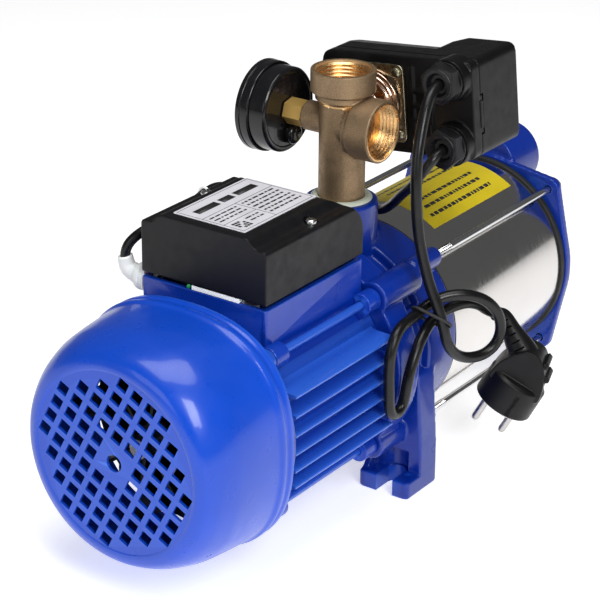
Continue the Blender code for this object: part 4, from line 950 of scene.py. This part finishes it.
# ---- pump ------------------------------------------------------------------
def bracket():
    """Motor flange, neck, pump flange, outlet boss and feet as one sand casting."""
    section = [(38.4, 0), (38.4, 66.2), (8.6, 66.2), (7.4, 65), (7.4, 60), (-11.2, 60), (-11.2, 70.6),
               (-31.2, 70.6), (-32, 69.8), (-32, 0)]
    solids = [lathe("flanges", section, sides=160)]
    for bolt, tie in zip(BOLTS, RODS):
        solids.append(lathe("boss", [(9.2, 0), (9.2, 9), (8.2, 10), (-31.8, 10), (-31.8, 0)], bolt,
                            sides=48))
        turn, reach = outward(tie)
        solids.append(block("web", (7.4, 34.8), (56, reach), (SHAFT - 6.5, SHAFT + 6.5), turn))
        solids.append(rod(34.8, 7.4, 6.2, tie, sides=48))
    for degrees in (28, 152):
        solids.append(block("neck_rib", (-12, 8), (56, 65.5), (SHAFT - 2.4, SHAFT + 2.4), turn_x(degrees)))
    wall = [(-70, 0.4), (-69.6, 30), (-66, 78), (-40, 84), (40, 84), (66, 78), (69.6, 30), (70, 0.4),
            (36, 0.4), (34.4, 10), (26, 19), (16, 24), (-16, 24), (-26, 19), (-34.4, 10), (-36, 0.4)]
    solids.append(prism("wall", wall, -4.6, 14, YZ))
    for sy in (-1, 1):
        pad = [(x, sy * y) for x, y in rounded(-19.3, 14.1, 34, 70, 3)]
        solids.append(prism("pad", pad, 0, 11))
        gusset = [(-18, 8), (-4, 8), (-4, 26)]
        solids.append(prism("gusset", gusset, *sorted((sy * 34.4, sy * 38.4)), XZ))
    solids.append(lathe("outlet_boss", [(175.6, 0), (175.6, 21.6), (174.6, BOSS_R), (120, BOSS_R),
                                        (120, 0)], (OUT_X, 0, 0), AZ, 96))
    o = cast("bracket_casting", solids, 0.8, 7)
    ways = [rod(180, 120, 16.9, (OUT_X, 0, 0), AZ, 64), lathe("chamber", [(41, 0), (41, 60.8), (12, 60.8),
                                                                          (8, 54), (-10, 54), (-10, 0)],
                                                              sides=128), lathe("seat",
                                                                                [(-8, 0), (-8, 13.9),
                                                                                 (-22.2, 13.9),
                                                                                 (-22.2, 17.8), (-34, 17.8),
                                                                                 (-34, 0)], sides=64),
            lathe("groove", [(-34, 55), (-24, 55), (-24, 24), (-34, 24)], sides=96)]
    for sy in (-1, 1):
        arc = [(-6 + 6 * sin(radians(a)), sy * (53 - 6 * cos(radians(a)))) for a in range(0, 181, 10)]
        ways.append(prism("slot", [(-26, sy * 47)] + arc + [(-26, sy * 59)], -2, 11.8))
        ways.append(rod(25, 11, 9, (-8, sy * 53, 0), AZ, 48))
    for bolt, tie in zip(BOLTS, RODS):
        ways.append(rod(-10, -34, BOLT_HOLE, bolt, sides=24))
        ways.append(rod(42, 14, BOLT_HOLE, tie, sides=24))
    for w in ways:
        cut(o, w)
    dress(thin(o, 0.3, 44), PAINT, "blue_casting", "bracket")


def barrel():
    x0, x1 = 39.8, 171.2
    bore = BARREL_R - 1.3
    o = lathe("pump_barrel_shell", [(x1, BARREL_R), (x0, BARREL_R), (x0, bore), (x1, bore)], sides=200,
              radius=0.5)
    dress(crisp(o, 50), BARREL, "stainless", "pump_barrel")
    near = lathe("near_gasket", [(39.5, 65.7), (38.7, 65.7), (38.7, 61.4), (39.5, 61.4)], sides=160,
                 radius=0.2)
    dress(near, RUBBER, "black_rubber", "barrel_gasket_near")
    far = lathe("far_gasket", [(175.5, 66.4), (171.5, 66.4), (171.5, 61.4), (175.5, 61.4)], sides=160,
                radius=0.8)
    dress(far, RUBBER, "black_rubber", "barrel_gasket_far")


def on_barrel(x, degrees, r):
    """Point on the barrel, with the angle up from the side outlet's side."""
    a = radians(degrees)
    return Vector((x, -r * cos(a), SHAFT + r * sin(a)))


def curved(name, x0, x1, low, high, r, thick, lean=0):
    """Thin plate bent round the barrel. lean slides its upper edge along the barrel."""
    bm = bmesh.new()
    steps = max(2, int((high - low) / 2))
    rows = []
    for i in range(steps + 1):
        t = i / steps
        a = low + (high - low) * t
        row = []
        for level in (r, r + thick):
            row += [bm.verts.new(on_barrel(x + lean * a, a, level) * MM) for x in (x0, x1)]
        rows.append(row)
    for a, b in zip(rows, rows[1:]):
        for i, k in ((0, 1), (1, 3), (3, 2), (2, 0)):
            bm.faces.new((a[i], a[k], b[k], b[i]))
    for row in (rows[0], rows[-1]):
        bm.faces.new((row[0], row[1], row[3], row[2]))
    return link(name, bm, merge=0)


def barrel_sticker():
    """Yellow sticker with rows of plain bars in place of its print."""
    lean = 7 / 64
    x0, x1 = 65 - lean * 61, 159 - lean * 61
    plate = curved("barrel_sticker", x0, x1, 61, 125, BARREL_R + 0.03, 0.12, lean)
    dress(crisp(plate, 40), YELLOW_FOIL, "stainless")
    dice = random.Random(11)
    marks = []
    for degrees, start in ((68, 8), (75, 12), (82, 8), (95, 8), (102, 12), (109, 8)):
        for a, b, _, _ in plain_row(x0 + start, x1 - 14, 0, 1, dice):
            marks.append(curved("mark", a, b, degrees, degrees + 2.4, BARREL_R + 0.16, 0.04, lean))
    dress(merge("sticker_print", marks), INK, "black_case")


def hull(points):
    """Outer points of a flat cloud, in turning order."""
    points = sorted(set(points))
    rim = []
    for run in (points, points[::-1]):
        start = len(rim)
        for p in run:
            while len(rim) > start + 1:
                (ax, ay), (bx, by) = rim[-2], rim[-1]
                if (bx - ax) * (p[1] - ay) - (by - ay) * (p[0] - ax) > 0:
                    break
                rim.pop()
            rim.append(p)
        rim.pop()
    return rim


def eared():
    """Outline of the suction cover's plate: round, with an ear at each tie bolt."""
    cloud = [(67.8 * cos(a), SHAFT + 67.8 * sin(a)) for a in (radians(1.5 * k) for k in range(240))]
    for _, y, z in RODS:
        for k in range(48):
            a = radians(7.5 * k)
            cloud.append((y + 7.6 * cos(a), z + 7.6 * sin(a)))
    return hull(cloud)


def suction_cover():
    x = 175.8
    solids = [prism("plate", eared(), x, x + 5.6, YZ)]
    solids.append(lathe("dish", [(x + 22, 0), (x + 22, 40), (x + 18, 55), (x + 8, 66.4), (x + 3, 66.8),
                                 (x + 3, 0)], sides=160, radius=3))
    solids.append(lathe("boss", [(END, 0), (END, 21.6), (END - 1, BOSS_R), (x + 3, BOSS_R), (x + 3, 0)],
                        (0, 0, SUCTION_Z), sides=96))
    solids.append(rod(x + 19, x + 3.6, 16, sides=64))
    o = cast("suction_cover_casting", solids, 0.8, 7)
    section = [(x + 17, 0), (x + 17, 38), (x + 12, 52), (x + 3, 61), (x - 2, 61), (x - 2, 0)]
    cut(o, lathe("hollow", section, sides=128))
    bore = [(216, 0), (216, 16.4)]
    for k in range(7):
        bore += [(END - 2.3 * k, 16.4 - 0.1 * k), (END - 1.2 - 2.3 * k, 15.4 - 0.1 * k)]
    thin(o, 0.3, 44)
    cut(o, lathe("bore", bore + [(191, 14.8), (191, 0)], (0, 0, SUCTION_Z), sides=80))
    ways = [block("passage", (184, 199), (-9, 9), (128, 134)), rod(x + 12, x + 2, 11.3, sides=48)]
    ways += [rod(x + 16, x - 4, BOLT_HOLE, at, sides=24) for at in RODS]
    for w in ways:
        cut(o, w)
    dress(crisp(o, 44), PAINT, "blue_casting", "suction_cover")


def tie_bolts():
    end = 181.7
    for n, at in enumerate(RODS):
        bar = lathe("bar", [(end, 0), (end, 2.3), (54, 2.3), (53, 2.1), (53, 0)], at, sides=32)
        thread = threaded("thread", at, AX, 16, 53.4, 2.55)
        washer = rod(end + 0.9, end, 6.6, at, sides=48)
        head = hex_head("head", (end + 0.9, *at[1:]), AX, 3.1, 9)
        bolt = crisp(merge("rod_%d" % (n + 1), [bar, thread, washer, head]), 30)
        dress(bolt, BOLT, "bright_steel", "tie_bolt_%d" % (n + 1))


# ---- brass fitting and gauge -----------------------------------------------
def thread_bore(depth, mouth, root, axis, at, core, run, pitch=2.3):
    """Cutter for a threaded port: a short lead-in, thread crests, then the plain core bore."""
    section = [(2, 0), (2, mouth + 0.5), (0, mouth + 0.5), (-1.2, mouth)]
    turns = int(depth / pitch)
    for k in range(turns):
        x = -1.4 - k * pitch
        shrink = (mouth - root) * k / turns
        section += [(x, mouth - shrink), (x - pitch * 0.5, mouth - shrink - 1.15)]
    section += [(-depth - 1.5, root), (-depth - 3, core), (-run, core), (-run, 0)]
    return lathe("thread", section, at, axis, 96)


def manifold():
    """Cast fitting: main tube, two threaded collars, and ports for the gauge and the switch."""
    solids = [lathe("tube", [(257, 0), (257, 19.75), (243.6, 19.75), (243, 16.8), (238.6, 16.8),
                             (238.2, 14.2), (176.4, 14.2), (176.2, 16.4), (161, 16.4), (161, 0)],
                    (OUT_X, 0, 0), AZ, 128)]
    solids.append(lathe("side", [(29.3, 0), (29.3, 19), (13.4, 19), (12.8, 17), (9.4, 17), (9, 14), (0, 14),
                                 (0, 0)], PORT, -AY, 128))
    solids.append(rod(25.2, 0, 9.2, PORT, AY, 64))
    solids.append(rod(20, 0, 9.2, (OUT_X, 0, SWITCH_Z), AX, 64))
    o = thin(cast("brass_fitting", solids, 0.5, 5), 0.45, 40)
    cut(o, thread_bore(15, 16.6, 15.6, AZ, (OUT_X, 0, 257), 11.2, 110))
    cut(o, thread_bore(13, 16.4, 15.4, -AY, (OUT_X, -29.3, PORT_Z), 10.5, 29))
    cut(o, rod(34, 0, 4.6, PORT, AY, 32))
    cut(o, rod(24, 0, 4.6, (OUT_X, 0, SWITCH_Z), AX, 32))
    dress(crisp(o, 40), (BRASS, THREAD), "brass_body", "brass_manifold")

    def machined(c, n):
        up = hypot(c.x - OUT_X, c.y)
        side = hypot(c.x - OUT_X, c.z - PORT_Z)
        top_port = c.z > 236 and up < 16.75
        side_port = c.y < -9 and side < 16.55
        faces = (c.z > 256.6 and up < 18.2) or (c.y < -28.9 and side < 17.8)
        return top_port or side_port or faces

    pick(o, machined)
    bead = lathe("outlet_sealant", [(177.6, 14.3), (177.9, 16.6), (177, 18.4), (175.7, 19.2),
                                    (175.7, 14.3)], (OUT_X, 0, 0), AZ, 80, 0.8)
    dress(crisp(bead, 60), SEALANT, "white_plastic")


def gauge():
    gy = 39.2
    at = PORT
    stem = hex_head("hex", (OUT_X, gy - 0.3, PORT_Z), -AY, 13.3, 14.4, 12)
    tail = threaded("thread", PORT, AY, 19, 26, 4.4, 1.2, 0.5)
    collar = rod(39, 38.4, 5.6, at, AY, 40)
    dress(crisp(merge("gauge_stem_hex", [stem, tail, collar]), 28), HEXAGON, "brass_body", "gauge_stem")
    case = [(gy + 2.2, 0), (gy + 2.2, 24.4), (gy + 18.4, 24.8), (gy + 18.4, 26.2), (gy + 12, 26.6),
            (gy + 1.2, 26.4), (gy, 25.2), (gy, 23.2), (gy + 0.5, 22.6), (gy + 0.5, 0)]
    o = lathe("gauge_body", case, at, AY, 128, 0.5)
    cut(o, rod(8, -3, 5, (OUT_X + 1.4, gy, PORT_Z - 15), AY, 40))
    dress(crisp(o, 36), CASE_GLOSS, "black_case", "gauge_case")
    rim = [(gy + 21, 25), (gy + 21, 27.4), (gy + 20.2, 28.3), (gy + 17.6, 28.3), (gy + 17.2, 27.8),
           (gy + 16.6, 28.2), (gy + 12, 28.1), (gy + 11.4, 27.6), (gy + 11.4, 26.95), (gy + 18.8, 26.9),
           (gy + 18.8, 25)]
    dress(crisp(lathe("gauge_rim", rim, at, AY, 128, 0.35), 36), CASE_GLOSS, "black_case", "gauge_bezel")
    window = [(gy + 18.4, 0), (gy + 18.4, 24.4), (gy + 17.2, 24.4), (gy + 17.2, 0)]
    dress(lathe("gauge_window", window, at, AY, 96, 0.2), GLASS, "clear_lens", "gauge_lens")
    plug_section = [(gy + 1.9, 0), (gy + 1.9, 4.6), (gy - 0.3, 4.6), (gy - 0.3, 6.6), (gy - 4, 6.4),
                    (gy - 5.4, 4.8), (gy - 5.9, 2), (gy - 6.4, 1.2), (gy - 6.4, 0)]
    dress(lathe("gauge_vent", plug_section, (OUT_X + 1.4, 0, PORT_Z - 15), AY, 48, 0.9), CASE_GLOSS,
          "black_rubber", "gauge_vent_plug")
    gauge_face(gy)


def gauge_face(gy):
    """Dial with a plain 0 to 10 scale over 270 degrees, and its pointer."""
    at = Vector(PORT)
    plate = [(gy + 10.5, 0), (gy + 10.5, 24.2), (gy + 9.5, 24.2), (gy + 9.5, 0)]
    disc = lathe("gauge_dial_plate", plate, at, AY, 96, 0.2)
    cut(disc, rod(gy + 12, gy + 8, 1.6, at, AY, 24))
    dress(crisp(disc), DIAL_WHITE, "white_plastic", "gauge_dial")
    facing = Matrix(((-1, 0, 0, OUT_X * MM), (0, 0, 1, 0), (0, 1, 0, PORT_Z * MM), (0, 0, 0, 1)))
    level = gy + 10.51
    marks = []
    for k in range(51):
        a = radians(225 - 270 * k / 50)
        length, half = (3.6, 0.32) if k % 5 == 0 else (2, 0.14)
        mark = prism("tick", [(22.4 - length, -half), (22.4, -half), (22.4, half), (22.4 - length, half)],
                     level, level + 0.06)
        mark.data.transform(facing @ Matrix.Rotation(a, 4, "Z"))
        marks.append(mark)
    for k in range(0, 11, 2):
        a = radians(225 - 27 * k)
        text = bpy.data.curves.new("number", "FONT")
        text.body = str(k)
        text.size = 4.6 * MM
        text.align_x = "CENTER"
        text.align_y = "CENTER"
        text.extrude = 0.03 * MM
        o = place("number", text)
        spot = Matrix.Translation((15.4 * cos(a) * MM, 15.4 * sin(a) * MM, (level + 0.04) * MM))
        number = place("number", bpy.data.meshes.new_from_object(o))
        bpy.data.objects.remove(o, do_unlink=True)
        number.data.transform(facing @ spot)
        marks.append(number)
    dress(merge("dial_marks", marks), INK, "black_case")
    hub = lathe("hub", [(gy + 13.4, 0), (gy + 13.4, 2.2), (gy + 12, 2.6), (gy + 12, 1.2), (gy + 7, 1.2),
                        (gy + 7, 0)], at, AY, 40, 0.3)
    needle = prism("needle", [(-5, -1.1), (-5, 1.1), (0, 1.4), (18.2, 0.25), (18.2, -0.25), (0, -1.4)], gy
                   + 12.2, gy + 12.9)
    needle.data.transform(facing @ Matrix.Rotation(radians(225), 4, "Z"))
    dress(crisp(merge("gauge_needle", [hub, needle])), INK, "black_case", "gauge_pointer", body="pointer")


# ---- pressure switch -------------------------------------------------------
SWITCH = Matrix.Translation((0, 0, SWITCH_Z * MM)) @ Matrix.Rotation(radians(SWITCH_TILT), 4, "X")


def tilted(o):
    """From the switch's own frame to its place on the fitting."""
    o.data.transform(SWITCH)
    return o


def case_outline():
    """Case seen along the shaft, with larger corners at the end away from the glands."""
    near, far = rounded(-71.5, 35.6, -30.3, 30.3, 6), rounded(-71.5, 35.6, -30.3, 30.3, 9)
    return [p if p[0] < 0 else q for p, q in zip(near, far)]


def switch_base():
    solids = [prism("body", case_outline(), 39.4, 47.4, YZ)]
    for z in (GLAND_Z, -GLAND_Z):
        solids.append(rod(46.9, 31.7, 13, (0, GLAND_Y, z), sides=64))
        for y in (-46.2, -70.4):
            solids.append(block("boss_rib", (33.5, 40), sorted((y, y + (2.2 if y < -60 else -2.2))),
                                (z - 1.1, z + 1.1)))
    for z in (-9, 0, 9):
        solids.append(block("rib", (38.4, 40), (-43, -29), (z - 0.9, z + 0.9)))
    solids.append(block("rib", (38.4, 40), (-43.6, -41.8), (-24, 24)))
    solids.append(block("rib", (38.4, 40), (-30.2, -28.4), (-24, 24)))
    o = cast("switch_base_moulding", solids, 0.6, 4)
    cuts = [block("hollow", (43.4, 50), (-66, 31), (-26, 26))]
    for z in (GLAND_Z, -GLAND_Z):
        cuts.append(rod(60, 29, 5.4, (0, GLAND_Y, z), sides=40))
    for c in cuts:
        cut(o, c)
    join(o, rod(47.2, 39.8, 17, (0, 0, 0), sides=64))
    cut(o, rod(60, 30, 13.9, (0, 0, 0), sides=64))
    dress(tilted(thin(o, 0.4, 42)), SWITCH_BLACK, "black_case", "switch_base")


def switch_cover():
    """Cover with a higher block over the terminals and a sloping lid beside it."""
    far, low = 91.4, 79
    shell = prism("shell", case_outline(), 47.7, far, YZ)
    cut(shell, prism("step", [(low, 60), (low, -33), (far + 6, -41), (far + 6, 60)], -45, 45))
    cut(shell, prism("slope", [(58, 30.9), (low + 4, 25.4), (low + 4, 45), (58, 45)], -33.5, 60, XZ))
    o = cast("switch_cover_moulding", [shell], 0.6, 9)
    cuts = [prism("inside", rounded(-69, 32.5, -27.8, 25, 4), 45.4, low - 4, YZ),
            prism("inside", rounded(-69, -44, -27.8, 25, 4), low - 6, far - 2.5, YZ),
            block("latch_way", (44, 51), (-75, -66), (-16, 9))]
    for c in cuts:
        cut(o, c)
    dress(tilted(thin(o, 0.4, 42)), SWITCH_BLACK, "black_case", "switch_cover")
    latch = ease(block("switch_latch", (44.4, 50.6), (-71.2, -68.2), (-15.2, 8.2)), 0.6)
    hook = ease(block("hook", (47, 50.2), (-72, -70), (-12, 5)), 0.5)
    dress(tilted(merge("switch_latch", [latch, hook])), SWITCH_BLACK, "black_case")


def plate_and_dome():
    plate = ease(prism("switch_flange", rounded(-24.6, 23, -23.6, 25.2, 5), 37, 39.1, YZ), 0.5)
    cut(plate, rod(60, 30, 13.9, (0, 0, 0), sides=64))
    parts = [plate]
    for y, z in ((-19.6, 20.2), (18, 20.2), (-19.6, -18.6), (18, -18.6)):
        head = lathe("screw", [(37.2, 0), (37.2, 3.4), (35.9, 3.2), (35, 2), (35, 0)], (0, y, z), sides=40,
                     radius=0.3)
        for angle in (0.4, 0.4 + pi / 2):
            slot = block("slot", (34, 36), (-2, 2), (-0.35, 0.35))
            slot.data.transform(Matrix.Translation((0, y * MM, z * MM)) @ Matrix.Rotation(angle, 4, "X"))
            cut(head, slot)
        parts.append(crisp(head, 30))
    dress(tilted(merge("switch_flange", parts)), ZINC, "zinc_plate", "flange_plate")
    dome = [(36.7, 12), (36.7, 21), (35.6, 21.4), (34.6, 21.2), (34.2, 19.8), (33.6, 19), (33, 18.9),
            (32.6, 17.6), (31.4, 16.4), (30.4, 13.4), (29.6, 11), (29, 10.4), (27, 10.4), (27, 5.6),
            (34, 5.6), (34, 12)]
    dress(tilted(lathe("switch_dome", dome, (0, 0, 0), AX, 128, 0.4)), DOME, "bright_steel",
          "diaphragm_dome")


def gland_nuts():
    for tag, z in (("upper", GLAND_Z), ("lower", -GLAND_Z)):
        at = (0, GLAND_Y, z)
        nut = hex_head("hex", (30, GLAND_Y, z), -AX, 8.2, 22, 8)
        join(nut, rod(31.4, 29.8, 11.9, at, sides=64, radius=0.3), lathe("nose",
                                                                         [(22.2, 0), (22.2, 9.9),
                                                                          (21.4, 9.3), (21.4, 0)], at,
                                                                         sides=64))
        cut(nut, lathe("bore", [(40, 0), (40, 6.4), (23.4, 6.4), (21, 7.6), (18, 7.6), (18, 0)], at,
                       sides=48))
        dress(tilted(crisp(nut, 28)), NUTS, "black_case", "gland_nut_" + tag)
        seal = lathe("gland_seal_" + tag, [(30, 3.6), (30, 6.3), (24.6, 6.3), (24, 5.4), (24, 3.6)], at,
                     sides=48, radius=0.3)
        dress(tilted(seal), RUBBER, "black_rubber")


# ---- inside ----------------------------------------------------------------
INSIDE = {LAMINATED: ("stator_core", "rotor_core"), COPPER: ("stator_winding",),
          STEEL: ("shaft", "impeller_nut"), NICKEL: ("bearing_rear", "bearing_front"),
          GREY: ("run_capacitor", "venturi_tube"), CERAMIC: ("seal_seat",), RUBBER: ("seal_head",),
          STAMPED: ("impeller_1", "impeller_2", "impeller_3", "diffuser_1", "diffuser_2", "diffuser_3"),
          THREAD: ("ejector_nozzle",), WHITE: ("switch_plunger",), NUTS: ("cooling_fan",), }


def inside():
    for material, nodes in INSIDE.items():
        for node in nodes:
            wear(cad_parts[node], material)


camera()
studio()
cords()
fan_cover()
motor_housing()
through_bolts()
rear_shield()
terminal_cover()
label()
box_inside()
bracket()
barrel()
barrel_sticker()
suction_cover()
tie_bolts()
manifold()
gauge()
switch_base()
switch_cover()
plate_and_dome()
gland_nuts()
inside()
